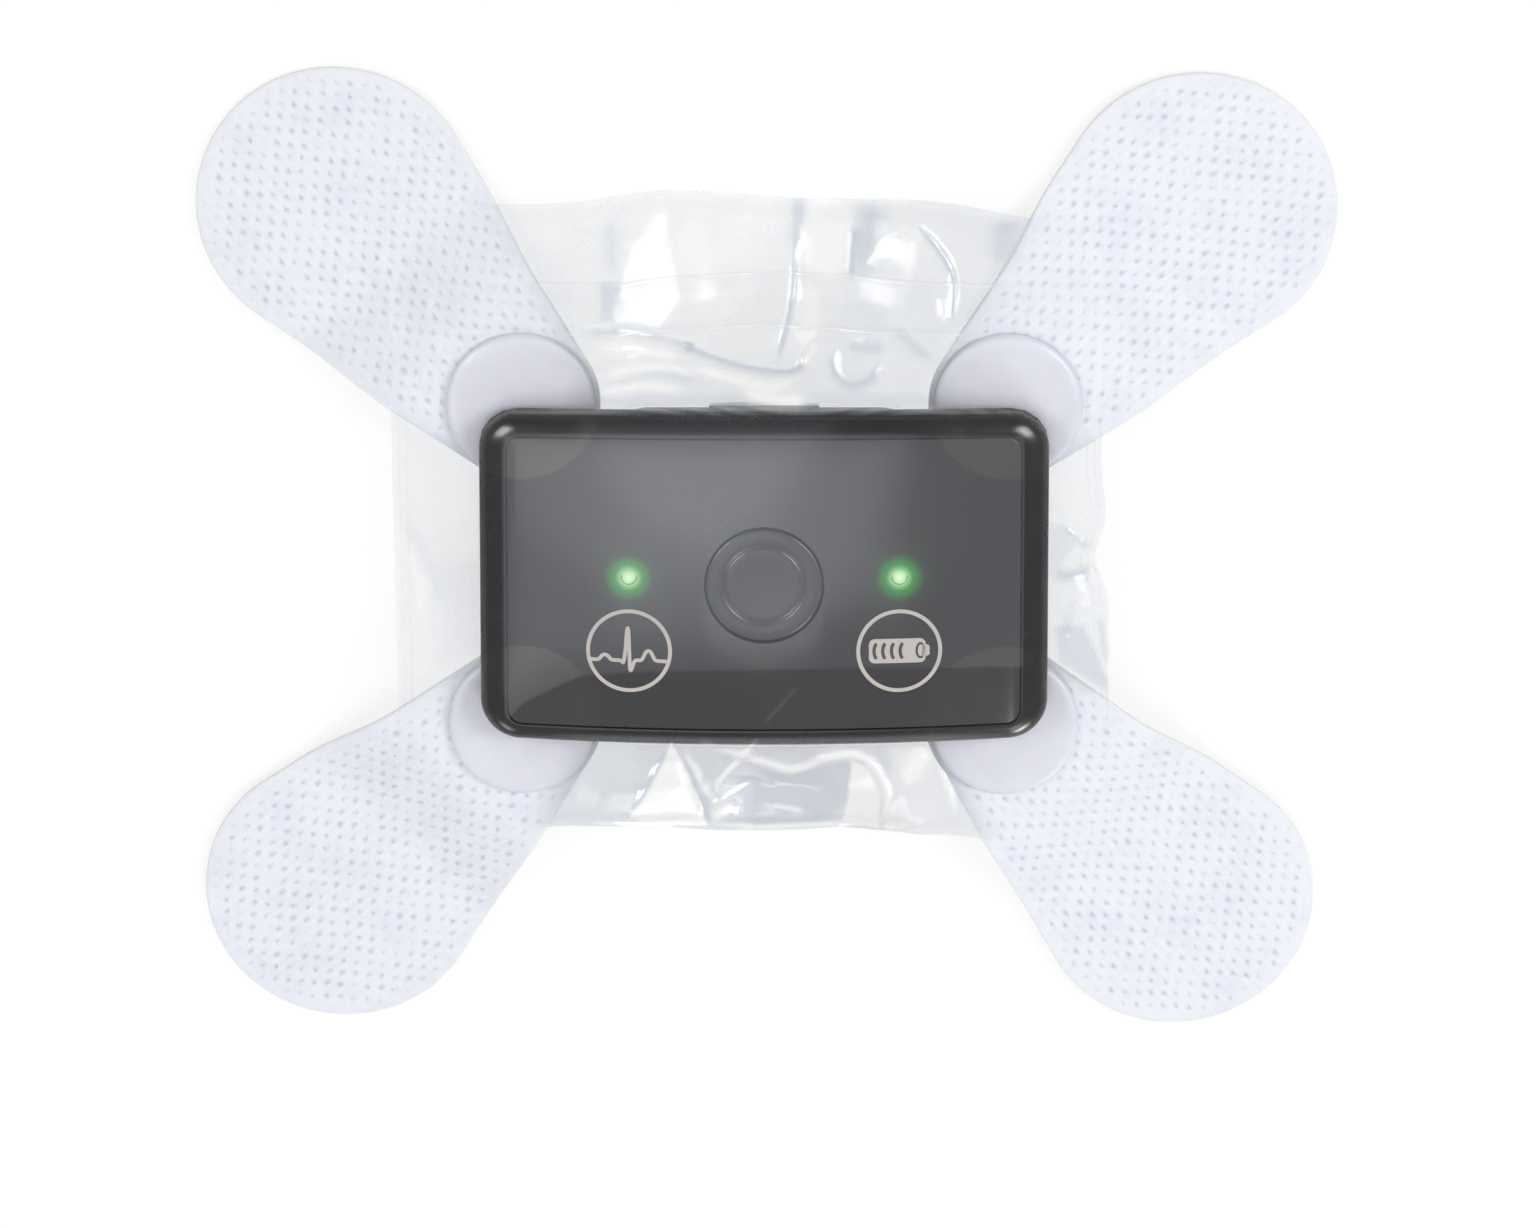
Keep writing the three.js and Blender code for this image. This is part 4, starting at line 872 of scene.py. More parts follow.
class RECORDER_OT_label(bpy.types.Operator):
    """Lays the semi-gloss label and its two printed pictograms in the cover"""

    bl_idname = "recorder.label"
    bl_label = "Label and pictograms"

    def sheet(self, settings, crown):
        gap = mm(0.2)
        half_x = HALF_LENGTH - settings.bezel_length - gap
        half_y = HALF_WIDTH - settings.bezel_width - gap
        label = slab("panel_label", half_x, half_y, settings.label_corner, LABEL_TOP - mm(0.4), LABEL_TOP, 10)
        round_edges(label, LABEL_TOP, mm(0.12), 2)
        open_holes(label)
        crown.over(label)
        dress(label, label_finish(settings, *LIGHT_PLACE), "recorder", "label", "front_label")

    def line(self, name, points, width, closed=False):
        """A printed line of even width along points, as a flattened tube."""
        path = bpy.data.curves.new(name, "CURVE")
        path.dimensions = "3D"
        path.bevel_depth = width / 2
        path.bevel_resolution = 2
        path.use_fill_caps = True
        spline = path.splines.new("POLY")
        spline.points.add(len(points) - 1)
        for point, (x, y) in zip(spline.points, points):
            point.co = (x, y, 0, 1)
        spline.use_cyclic_u = closed
        piece = bpy.data.objects.new(name, path)
        bpy.context.scene.collection.objects.link(piece)
        hold(piece)
        bpy.ops.object.convert(target="MESH")
        return bpy.context.active_object

    def pressed(self, pieces, name, crown, material, height=0):
        """Joins printed lines, flattens them and lays them on the crowned label."""
        piece = hold(*pieces)
        if len(pieces) > 1:
            bpy.ops.object.join()
        piece = bpy.context.active_object
        piece.name = piece.data.name = name

        def on_label(co):
            return crown.place(Vector((co.x, co.y, LABEL_TOP + height + mm(0.012) + co.z * 0.03)))

        reshape(piece, on_label)
        return dress(piece, material, "recorder", "label", angle=60)

    def ring(self, name, x, y, radius, width):
        return add(
            name,
            bpy.ops.mesh.primitive_torus_add,
            major_segments=96,
            minor_segments=8,
            major_radius=radius,
            minor_radius=width / 2,
            location=(x, y, 0),
        )

    def execute(self, context):
        settings = context.scene.recorder_housing
        crown = Crown(settings)
        self.sheet(settings, crown)
        ink = printed_ink("print_finish", settings.print_colour)
        dark = printed_ink("dark_print_finish", [value * 0.9 for value in settings.label_colour])
        side, below = LIGHT_PLACE[0], -settings.sign_place
        radius, width = settings.sign_radius, settings.sign_line

        trace = [
            (-5.9, -1.5), (-4.8, -1.5), (-4.4, -1.1), (-4.0, -0.75), (-3.5, -0.75), (-3.1, -1.1),
            (-2.7, -1.5), (-1.3, -1.6), (-0.9, -1.9), (-0.55, 0.2), (-0.3, 3.3), (-0.1, 3.3),
            (0.05, -0.5), (0.15, -3.0), (0.4, -2.9), (0.9, -1.6), (1.8, -1.5), (2.2, -1.0),
            (2.6, -0.2), (3.0, 0.05), (3.4, -0.2), (3.8, -1.0), (4.2, -1.5), (5.8, -1.6),
        ]
        places = [(mm(x) - side, mm(y) + below) for x, y in curved(trace, 3)]
        heart = self.line("heart_trace", places, mm(0.58))
        heart_ring = self.ring("heart_ring", -side, below, radius, width)
        self.pressed([heart, heart_ring], "heart_pictogram", crown, ink)

        body = slab("battery_body", mm(4.4), mm(1.95), mm(0.9), -mm(0.3), mm(0.3), 5)
        nudge(body, side - mm(0.3), below)
        nub = slab("battery_nub", mm(0.6), mm(0.9), mm(0.4), -mm(0.3), mm(0.3), 4)
        nudge(nub, side + mm(4.1), below)
        for part in (body, nub):
            slice_at(part, 0, [side + mm(0.5 * step) for step in range(-10, 11)])
        battery_ring = self.ring("battery_ring", side, below, radius, width)
        self.pressed([body, nub, battery_ring], "battery_pictogram", crown, ink)

        def arc(x, radius_x, radius_y, start, end):
            turns = [math.radians(start + (end - start) * step / 12) for step in range(13)]
            return [(x + radius_x * math.cos(turn), below + radius_y * math.sin(turn)) for turn in turns]

        bars = [
            self.line("bar", arc(side - mm(3.35) + number * mm(1.35), mm(0.55), mm(1.25), 105, 255), mm(0.52))
            for number in range(4)
        ]
        bars.append(self.line("bar", arc(side + mm(3.3), mm(0.6), mm(1.15), 55, 305), mm(0.36)))
        for number, bar in enumerate(bars):
            self.pressed([bar], f"battery_bar_{number + 1}", crown, dark, mm(0.03))
        return {"FINISHED"}


class RECORDER_OT_key(bpy.types.Operator):
    """Turns the round event key with its groove, and the two light guides"""

    bl_idname = "recorder.key"
    bl_label = "Event key and lights"

    def execute(self, context):
        settings = context.scene.recorder_housing
        low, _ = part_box("event_key")
        stem = rings(0, low.z, (1.6, 0))
        flange = rings(0, 0, (1.6, 17.35), (10.2, 17.36), (10.2, 17.95))
        wall = rings(KEY_RADIUS, 0, (0, 17.96))
        lip = rings(KEY_RADIUS, LABEL_TOP, (0, -0.3), (-0.09, -0.09), (-0.3, 0))
        sides = ((0.42, 0), (0.26, -0.06), (0.1, -0.2), (-0.1, -0.2), (-0.26, -0.06), (-0.42, 0), (-1.2, 0))
        hollow = rings(0, LABEL_TOP, (3.2, -0.14), (1.2, -0.18))
        profile = stem + flange + wall + lip + rings(settings.key_groove, LABEL_TOP, *sides) + hollow
        key = turned("key_cap", profile, steps=128)
        material = moulded_plastic("key_finish", [value * 0.9 for value in settings.label_colour], 0.32)
        dress(key, material, "event_key", "key", "event_key", angle=50)

        lens = lit_lens("lens_finish", settings.light_colour, *LIGHT_PLACE)
        x, y = LIGHT_PLACE
        low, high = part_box("right_light_guide")
        collar = rings(0, 0, (1.1, 16.2), (1.9, 16.21), (1.9, 16.7), (1.1, 16.71))
        tip = rings(0, high.z, (1.1, -0.22), (1.0, -0.07), (0.8, -0.02))
        right = turned("right_lens", rings(0, low.z, (1.1, 0)) + collar + tip, x, y)
        left = copy_of(right, "left_lens")
        reshape(left, lambda co: Vector((co.x - 2 * x, co.y, co.z)))
        for side, guide in (("right", right), ("left", left)):
            dress(guide, lens, "recorder", "light", f"{side}_light_guide", angle=50)
        return {"FINISHED"}


# The electrodes


# Cuts in and under the flat sheet, from the stud
GEL_RADIUS = mm(13)
GEL_DEPTH = mm(0.45)
RIVET_HOLE = mm(1.25)
LINER_START = mm(39.5)


class Bend:
    """How an electrode's sheet runs: level under the recorder, down to the table, then nearly level."""

    thickness = mm(1)
    steep = math.radians(26)
    rest = math.radians(3)

    def __init__(self, settings):
        _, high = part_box("upper_right_backing")
        self.height = high.z - self.thickness / 2
        self.radius = settings.bend_radius
        end = settings.broad_offset + settings.broad_radius
        first, second = self.radius * self.steep, self.radius * (self.steep - self.rest)
        tip = (self.thickness / 2 + mm(0.3)) * math.cos(self.rest)
        arcs = self.radius * (1 + math.cos(self.rest) - 2 * math.cos(self.steep))
        spare = end - settings.bend_start - first - second
        fall = self.height - tip - arcs - spare * math.sin(self.rest)
        slope = fall / (math.sin(self.steep) - math.sin(self.rest))
        self.path = [
            (settings.bend_start, 0, 0),
            (first, 0, self.steep),
            (slope, self.steep, self.steep),
            (second, self.steep, self.rest),
            (end, self.rest, self.rest),
        ]

    def at(self, distance):
        x, z, left = 0, self.height, distance
        angle = 0
        for length, start, end in self.path:
            step = min(left, length)
            turn = (end - start) / length
            angle = start + turn * step
            if turn:
                x += (math.sin(angle) - math.sin(start)) / turn
                z -= (math.cos(start) - math.cos(angle)) / turn
            else:
                x += step * math.cos(start)
                z -= step * math.sin(start)
            left -= step
            if left <= 0:
                break
        return x, z, angle

    def laid(self, co):
        """Where a place on the flat layer comes to lie, with its height measured square to the sheet."""
        x, z, angle = self.at(co.x)
        return Vector((x + co.z * math.sin(angle), co.y, z + co.z * math.cos(angle)))


class Corner:
    """One electrode's stud and the direction that its sheet runs in."""

    def __init__(self, name):
        self.stud = Vector(JOINTS[f"{name}_snap_swivel"]["pos_m"])
        low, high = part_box(f"{name}_gel_pad")
        middle = (low + high) / 2
        self.angle = math.atan2(middle.y - self.stud.y, middle.x - self.stud.x)
        self.cos, self.sin = math.cos(self.angle), math.sin(self.angle)

    def turned(self, x, y):
        return x * self.cos - y * self.sin, x * self.sin + y * self.cos

    def place(self, co):
        x, y = self.turned(co.x, co.y)
        return Vector((x + self.stud.x, y + self.stud.y, co.z))


class RECORDER_OT_electrodes(bpy.types.Operator):
    """Cuts the four nonwoven sheets and the layers under them, and bends them to the table"""

    bl_idname = "recorder.electrodes"
    bl_label = "Electrodes"

    # Height of the sheets' waves, how many there are to the metre, and where they start and are full
    wave_height, waves = mm(0.45), 38
    wave_start, wave_full = mm(24), mm(42)

    def teardrop(self, settings, low, high):
        """The sheet's outline: the broad end, drawn in to the narrow one beyond its tangents."""
        piece = post("sheet_cut", settings.broad_radius, low, high, settings.broad_offset, steps=128)
        reach = settings.broad_offset - settings.disc_offset
        slant = math.asin((settings.broad_radius - settings.narrow_radius) / reach)
        limit = math.pi / 2 + slant

        def drawn_in(co):
            turn = math.atan2(co.y, co.x - settings.broad_offset)
            if abs(turn) <= limit:
                return co
            radius = settings.narrow_radius
            return Vector((settings.disc_offset + radius * math.cos(turn), radius * math.sin(turn), co.z))

        reshape(piece, drawn_in)
        return piece

    def gridded(self, piece, settings, sideways=True):
        first, last = settings.bend_start, settings.broad_offset + settings.broad_radius
        count = int((last - first) / settings.cell)
        slice_at(piece, 0, [first + settings.cell * step for step in range(-8, count + 1)])
        if sideways:
            across = int(settings.broad_radius / settings.cell)
            slice_at(piece, 1, [settings.cell * step for step in range(-across, across + 1)])

    def edge_distance(self, settings, co):
        """How far a place on the flat sheet lies inside the sheet's edge."""
        reach = settings.broad_offset - settings.disc_offset
        slant = (settings.broad_radius - settings.narrow_radius) / reach
        along = co.x - settings.disc_offset
        square = math.sqrt(1 - slant * slant)
        share = along + abs(co.y) * slant / square
        if share < 0:
            return settings.narrow_radius - math.hypot(along, co.y)
        if share > reach:
            return settings.broad_radius - math.hypot(co.x - settings.broad_offset, co.y)
        return settings.narrow_radius + along * slant - abs(co.y) * square

    def wave(self, corner, co):
        """The sheet's slight waves where nothing holds it, never below the table."""
        free = min(1, max(0, (co.x - self.wave_start) / (self.wave_full - self.wave_start)))
        soft = noise.noise(Vector((co.x * self.waves, co.y * self.waves, corner.angle * 7)))
        return free * self.wave_height * max(0, 0.5 + soft)

    def lay(self, settings, bend, corner, piece, flat=False):
        mesh = piece.data
        if flat:
            weave = mesh.uv_layers.new(name="flat")
            mesh.uv_layers.active = weave
            for loop in mesh.loops:
                co = mesh.vertices[loop.vertex_index].co
                weave.data[loop.index].uv = corner.turned(co.x, co.y)
            edge = mesh.attributes.new("edge", "FLOAT", "POINT")
            slant = mesh.attributes.new("slant", "FLOAT", "POINT")
            way = 1 if corner.cos * corner.sin > 0 else -1
            for vertex in mesh.vertices:
                edge.data[vertex.index].value = max(0, self.edge_distance(settings, vertex.co))
                slant.data[vertex.index].value = way

        def laid(co):
            placed = corner.place(bend.laid(co))
            placed.z += self.wave(corner, co)
            return placed

        reshape(piece, laid)

    def execute(self, context):
        settings = context.scene.recorder_electrode
        bend = Bend(settings)
        under, over = -bend.thickness / 2, bend.thickness / 2
        middle = settings.broad_offset

        sheet = self.teardrop(settings, under, over)
        round_edges(sheet, over, mm(0.22), 2)
        pocket = (GEL_RADIUS + mm(0.3), under - mm(1), under + GEL_DEPTH + mm(0.1))
        carve(sheet, post("pocket", *pocket, middle, steps=96))
        channel = slab("channel", mm(20), mm(2.8), mm(0.5), under - mm(1), under + mm(0.4), 3)
        nudge(channel, mm(17.4))
        carve(sheet, channel)
        carve(sheet, post("sheet_hole", RIVET_HOLE, -mm(2), mm(2), steps=24))
        self.gridded(sheet, settings)

        gel = post("gel_cut", GEL_RADIUS, under, under + GEL_DEPTH, middle, steps=96)
        round_edges(gel, under, mm(0.15), 2)
        self.gridded(gel, settings)

        lead = slab("lead_cut", mm(19.3), mm(2.5), mm(0.6), -mm(0.4), -mm(0.2), 4)
        nudge(lead, mm(16.8))
        carve(lead, post("lead_hole", RIVET_HOLE, -mm(2), mm(2), steps=24))
        self.gridded(lead, settings, False)

        liner = post("liner_cut", settings.broad_radius - mm(0.3), -mm(0.8), -mm(0.6), middle, steps=96)
        edit(liner)
        bpy.ops.mesh.bisect(plane_co=(LINER_START, 0, 0), plane_no=(1, 0, 0), clear_inner=True, use_fill=True)
        done()
        self.gridded(liner, settings)

        lead_finish = moulded_plastic("lead_finish", (0.03, 0.03, 0.034), 0.55, mm(0.12), mm(0.01))
        liner_finish = clear_film("liner_finish", (0.66, 0.70, 0.76))
        cuts = (
            ("nonwoven", sheet, nonwoven(settings), "nonwoven", "backing"),
            ("gel", gel, soft_gel("gel_finish"), "gel", "gel_pad"),
            ("lead", lead, lead_finish, "lead", "lead_strip"),
            ("release_liner", liner, liner_finish, "liner", "liner"),
        )
        for name in CORNERS:
            corner = Corner(name)
            layers = {}
            for layer, cut, finish, slot, node in cuts:
                layers[layer] = copy_of(cut, f"{name}_{layer}")
                self.lay(settings, bend, corner, layers[layer], layer in ("nonwoven", "release_liner"))
                dress(layers[layer], finish, f"{name}_electrode", slot, f"{name}_{node}", angle=60)
        for cut in (sheet, gel, lead, liner):
            bpy.data.objects.remove(cut)
        return {"FINISHED"}


class RECORDER_OT_discs(bpy.types.Operator):
    """Moulds the four translucent snap discs, and turns their studs and eyelets"""

    bl_idname = "recorder.discs"
    bl_label = "Snap discs and studs"

    def execute(self, context):
        settings = context.scene.recorder_electrode
        low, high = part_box("upper_right_snap_disc")
        edge = mm(11.6)
        foot = rings(edge, low.z, (-0.4, 0), (-0.1, 0.1), (0, 0.3))
        rim = rings(edge, high.z, (-0.08, -0.5), (-0.25, -0.25), (-0.5, -0.06), (-0.85, 0.06))
        crest = rings(edge, high.z, (-1.3, 0.1), (-1.9, 0.02), (-2.6, -0.07))
        profile = foot + rim + crest + rings(0, high.z, (1, -0.07))
        disc = turned("disc_cut", profile, settings.disc_offset, 0, 112)
        carve(disc, post("stud_seat", mm(3.85), high.z - mm(0.4), high.z + mm(1)))
        carve(disc, post("stud_hole", RIVET_HOLE, low.z - mm(1), high.z + mm(1), steps=24))

        low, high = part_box("upper_right_stud")
        flange = rings(0, low.z, (3.5, 0), (3.7, 0.08), (3.7, 0.22), (3.55, 0.3), (1.75, 0.31), (1.45, 0.6))
        bead = rings(0, high.z, (1.45, -1.2), (1.95, -0.9), (1.95, -0.5), (1.7, -0.15), (1.2, 0))
        stud = turned("stud_cut", flange + bead)
        low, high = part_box("upper_right_eyelet")
        flange = rings(0, low.z, (1.7, 0), (1.9, 0.04), (1.9, 0.11), (1.75, 0.15), (1.1, 0.16))
        tip = rings(0, high.z, (1.1, -0.1), (0.95, 0))
        eyelet = turned("eyelet_cut", flange + tip, steps=40)

        milky = translucent_disc(settings)
        steel = bright_metal("stud_finish", (0.62, 0.62, 0.63), 0.25)
        for name in CORNERS:
            corner = Corner(name)
            body = f"{name}_electrode"
            for cut, new, node, finish, slot in (
                (disc, "disc", "snap_disc", milky, "disc"),
                (stud, "press_stud", "stud", steel, "steel"),
                (eyelet, "rivet", "eyelet", steel, "steel"),
            ):
                piece = copy_of(cut, f"{name}_{new}")
                reshape(piece, corner.place)
                dress(piece, finish, body, slot, f"{name}_{node}", angle=40)
        for cut in (disc, stud, eyelet):
            bpy.data.objects.remove(cut)
        return {"FINISHED"}


# The film pouch

# Folds, as seen by the tilted camera, in millimetres from the recorder's middle: the points that a fold
# follows, its half width, its painted light (a painted highlight above zero, painted shade below), how hazy
# it is and how far it lifts.
FOLDS = [
    # The top window's folds
    ([(5.6, 54.4), (5.2, 49.9), (4.7, 44.7)], 1.09, -0.9, 0.35, -0.5),
    ([(4.5, 45.2), (4.5, 40.0), (3.9, 35.6), (2.8, 31.1), (1.9, 27.5)], 0.5, -0.8, 0.4, -0.6),
    ([(6.4, 40.5), (6.6, 35.8), (5.9, 30.6)], 1.72, 1, 0.6, 0.4),
    ([(10.3, 53.8), (9.7, 47.5), (8.4, 40.5)], 3.44, 0.9, 0.35, 0.4),
    ([(16.9, 53.0), (15.9, 47.5), (15.0, 40.5)], 2.5, -0.55, 0.3, -0.4),
    ([(13.9, 49.4), (13.4, 40.5)], 0.78, -0.7, 0.25, -0.3),
    ([(20.0, 47.5), (20.9, 45.0)], 2.34, 0.8, 0.3, 0.25),
    ([(23.3, 49.4), (26.2, 46.0), (28.3, 42.8), (29.2, 39.4), (28.9, 34.2)], 0.55, -0.8, 0.4, -0.6),
    ([(27.5, 38.1), (27.7, 34.2)], 0.78, 0.8, 0.4, 0.4),
    ([(38.1, 49.9), (36.9, 42.8)], 2.5, -0.6, 0.35, -0.25),
    ([(-23.6, 50.3), (-23.4, 40.5)], 1.3, -0.35, 0.2, 0),
    ([(-22.0, 50.0), (-22.6, 43.0), (-21.0, 36.0)], 3.1, -0.1, 0, 0.5),
    ([(-11.2, 50.5), (-10.6, 42.0), (-9.4, 36.0)], 2.8, 0.6, 0.2, 0.3),
    # The bowl-shaped fold between the strip and the recorder
    ([(-17.0, 32.5), (-13.3, 30.8), (-8.0, 28.6), (-3.6, 27.2), (1.2, 26.4), (5.0, 26.7), (6.1, 29.1),
      (8.3, 32.7)], 0.5, -0.75, 0.45, -0.8),
    ([(-11.6, 27.5), (-3.6, 25.3), (1.7, 24.7), (5.6, 25.6)], 0.78, 0.8, 0.4, 0.5),
    ([(5.6, 27.5), (7.8, 31.1)], 0.62, 0.9, 0.4, 0.4),
    ([(-12.2, 30.5), (-10.9, 30.0)], 0.94, -0.7, 0.4, -0.3),
    ([(11.2, 30.3), (10.6, 26.9), (12.7, 24.4), (15.9, 24.9), (18.1, 28.0)], 0.94, -0.5, 0.3, -0.5),
    ([(12.8, 31.1), (15.3, 30.0), (18.9, 30.0)], 1.25, -0.45, 0.3, -0.15),
    ([(19.5, 33.5), (22.5, 30.6), (25.9, 28.1)], 0.94, -0.35, 0.25, -0.4),
    ([(-3.6, 23.8), (1.7, 22.2), (7.2, 21.9)], 1.41, 0.8, 0.35, 0.2),
    ([(-28.8, 31.9), (-20.9, 32.7), (-15.0, 31.1)], 0.78, -0.5, 0.3, -0.4),
    ([(-25.6, 30.3), (-17.8, 30.0), (-12.8, 28.5)], 0.78, 0.7, 0.3, 0.4),
    ([(-25.6, 26.0), (-17.8, 27.5), (-10.0, 26.3)], 0.78, 0.5, 0.2, 0.3),
    ([(-26.2, 23.1), (-19.4, 24.4), (-11.6, 23.5)], 0.78, 0.5, 0.2, 0.3),
    ([(-24.1, 24.5), (-16.2, 26.0), (-9.2, 24.7)], 0.62, -0.35, 0.2, -0.3),
    # The folds below the recorder
    ([(-14.8, -31.7), (-17.8, -37.3), (-20.5, -41.9)], 0.5, -0.9, 0.5, -0.4),
    ([(-13.0, -33.3), (-10.5, -39.2), (-8.6, -44.2)], 0.78, -0.5, 0.35, -0.5),
    ([(-12.5, -31.9), (-10.0, -36.9), (-8.3, -40.0)], 0.5, 0.8, 0.4, 0.3),
    ([(-1.1, -30.5), (-4.1, -33.7), (-6.2, -35.9), (-7.5, -37.8), (-6.6, -39.4)], 0.5, 1, 0.65, 0.6),
    ([(-9.4, -30.8), (-6.6, -32.0), (-3.0, -33.0), (0.6, -34.2), (3.9, -35.1), (6.6, -34.4),
      (9.1, -33.3), (13.1, -32.6), (15.3, -33.1), (17.0, -34.5), (18.3, -36.5), (19.1, -38.7),
      (18.8, -41.2), (17.8, -44.7)], 0.78, 1, 0.65, 0.8),
    ([(-8.1, -43.7), (-6.6, -41.9), (-4.1, -40.6)], 1.09, 0.9, 0.5, 0.5),
    ([(-7.5, -44.2), (-0.6, -44.5), (5.6, -44.2), (12.2, -44.0), (17.5, -44.7)], 0.5, 0.7, 0.45, 0.2),
    ([(-6.9, -43.4), (0.9, -43.4), (7.2, -43.1), (12.7, -42.5)], 0.5, -0.5, 0.3, -0.2),
    ([(0.3, -40.5), (3.4, -41.1), (6.6, -41.7)], 0.5, 0.95, 0.55, 0.3),
    ([(6.6, -43.0), (10.6, -42.6)], 0.5, -0.7, 0.3, -0.2),
    ([(-5.2, -35.6), (-1.4, -36.1), (1.7, -37.5)], 0.5, 0.5, 0.3, 0.3),
    ([(18.1, -44.5), (21.6, -43.7), (25.3, -43.1)], 0.5, 0.8, 0.45, 0.3),
    ([(25.2, -31.4), (23.1, -34.5), (22.0, -37.6)], 1.41, 0.7, 0.3, 0.2),
    ([(-23.1, -43.0), (-16.2, -43.4), (-10.0, -44.2)], 0.62, 0.7, 0.45, 0.3),
    ([(-29.5, -38.4), (-25.6, -40.0)], 1.41, 0.4, 0.2, 0.15),
    ([(27.0, -33.7), (28.8, -38.4), (29.8, -42.3)], 0.5, 0.4, 0.25, 0.2),
    # The flap on the left
    ([(-56.1, 3.8), (-53.0, -1.7), (-51.1, -6.4), (-50.6, -10.3)], 1.25, -0.3, 0.2, -0.2),
    ([(-56.6, 3.0), (-54.5, -4.0), (-53.1, -11.9)], 1.09, 0.5, 0.1, 0.25),
    # The pinched flap on the right
    ([(45.9, 2.7), (48.6, 0.5), (50.9, -1.2)], 0.5, -0.7, 0.4, -0.6),
    ([(44.4, -4.4), (47.5, -5.0), (50.9, -4.2)], 1.0, -1.1, 0.6, -0.6),
    ([(50.2, -6.4), (49.8, -10.3)], 1.41, 0.9, 0.45, 0.3),
    ([(52.0, -11.2), (52.7, -15.0), (53.4, -18.9)], 0.55, -0.5, 0.4, -0.4),
    ([(51.4, 6.9), (49.8, 3.5)], 1.09, 0.5, 0.2, 0.4),
    ([(47.8, -8.7), (46.6, -15.0)], 0.62, -0.4, 0.25, -0.4),
    ([(49.7, -0.1), (51.2, -2.8), (52.2, -4.8)], 0.62, 0.8, 0.4, 0.4),
    # Where the film turns over the bezel's upper and lower edges
    ([(-43.4, 15.8), (-42.3, 18.0), (-39.9, 19.8), (-36.0, 20.4), (0.0, 20.6), (36.0, 20.4),
      (39.9, 19.7), (42.3, 17.9),
      (43.4, 15.8)], 0.42, 0.9, 0.42, 0),
    ([(-38.0, -29.5), (-20.0, -30.3), (0.0, -30.6), (20.0, -30.3), (38.0, -29.5),
      (41.6, -28.3)], 0.6, 0.8, 0.24, 0),
    # The crease over the label
    ([(5.8, -21.5), (2.5, -25.1), (-0.6, -28.6)], 0.5, 0.6, 0.1, 0.1),
]

# Flat patches between the folds: their corners, how soft their edges are, their painted light (a painted
# highlight above zero, painted shade below) and how hazy they are.
PATCHES = [
    ([(-41.2, 55.3), (41.6, 55.3), (30.6, 33.5), (25.9, 20.6), (-25.6, 20.6),
      (-30.0, 33.5)], 0.94, 0.5, 0.14),
    ([(13.8, 55.3), (43.1, 55.3), (43.1, 33.5), (11.6, 33.5)], 1.56, -0.1, 0.16),
    ([(-29.7, 33.3), (30.6, 33.3), (25.9, 20.6), (-25.6, 20.6)], 0.62, -0.05, 0.14),
    ([(-35.0, -31.4), (36.9, -31.4), (36.9, -47.8), (-38.1, -47.8)], 0.78, 0.08, 0.36),
    ([(-14.4, -30.9), (-20.8, -42.5), (-19.4, -43.4), (-8.9, -44.4), (-11.6, -36.1)], 0.42, 1.05, 0.6),
    ([(13.6, -33.7), (16.9, -35.0), (18.4, -38.4), (17.7, -44.5), (12.2, -43.4),
      (13.1, -40.0)], 0.47, 0.95, 0.5),
    ([(19.5, -31.4), (36.9, -31.4), (36.9, -47.8), (18.6, -47.8), (19.4, -38.0)], 0.9, 0.45, 0.0),
    ([(-58.5, 20.0), (-44.0, 20.0), (-44.0, -28.0), (-58.5, -28.0)], 1.5, 0.5, 0.02),
    ([(-4.5, -36.1), (13.4, -34.5), (12.8, -40.0), (10.3, -42.3), (-2.2, -41.9)], 0.94, -0.35, 0.15),
    ([(-25.2, 40.3), (-21.6, 40.3), (-21.6, 34.1), (-25.2, 34.1)], 0.42, -0.6, 0.3),
    ([(-25.6, 23.1), (25.9, 23.1), (25.9, 20.6), (-25.6, 20.6)], 0.62, -0.3, 0.2),
    ([(-50.6, -2.5), (-43.8, -2.5), (-43.8, -16.5), (-50.6, -18.9)], 2.19, -0.25, 0.15),
    ([(44.1, 3.0), (46.6, 2.5), (48.1, -0.1), (45.0, -4.0), (44.1, -4.0)], 0.62, -0.4, 0.3),
    # Haze patches over the label: the film's haze, which also paints the panel's highlight.
    ([(-40.1, 16.6), (40.1, 16.6), (40.1, -19.2), (13.4, -19.4), (-10.0, -19.8), (-22.0, -20.0),
      (-28.3, -20.5),
      (-33.4, -22.8), (-37.2, -24.7), (-39.5, -27.0), (-40.1, -27.5)], 0.5, 0.0, 0.13),
    ([(-39.5, 16.0), (21.0, 16.0), (17.0, -3.0), (6.0, -15.0), (-32.0, -18.0),
      (-39.5, -22.0)], 5.5, 0.0, 0.13),
    ([(-27.0, 18.0), (9.0, 18.0), (1.0, 4.0), (-8.0, -1.0), (-19.0, 2.0)], 5.0, 0.0, 0.12),
    ([(45.2, -12.8), (49.7, -12.8), (53.9, -22.4), (53.4, -23.0), (45.9, -18.3)], 0.47, -0.6, 0.5),
]


def gentle(value, low, high):
    """0 below low and 1 above high, with a smooth step from one to the other."""
    share = np.clip((value - low) / (high - low), 0, 1)
    return share * share * (3 - 2 * share)


def curved(points, steps=6):
    """A smooth line through points."""
    points = np.array(points, float)
    before = np.vstack([2 * points[0] - points[1], points[:-1]])
    after = np.vstack([points[1:], 2 * points[-1] - points[-2]])
    slopes = (after - before) / 2
    line = []
    for k in range(len(points) - 1):
        for share in np.arange(steps) / steps:
            a = 2 * share**3 - 3 * share**2 + 1
            b = share**3 - 2 * share**2 + share
            c = -2 * share**3 + 3 * share**2
            d = share**3 - share**2
            line.append(a * points[k] + b * slopes[k] + c * points[k + 1] + d * slopes[k + 1])
    line.append(points[-1])
    return np.array(line)


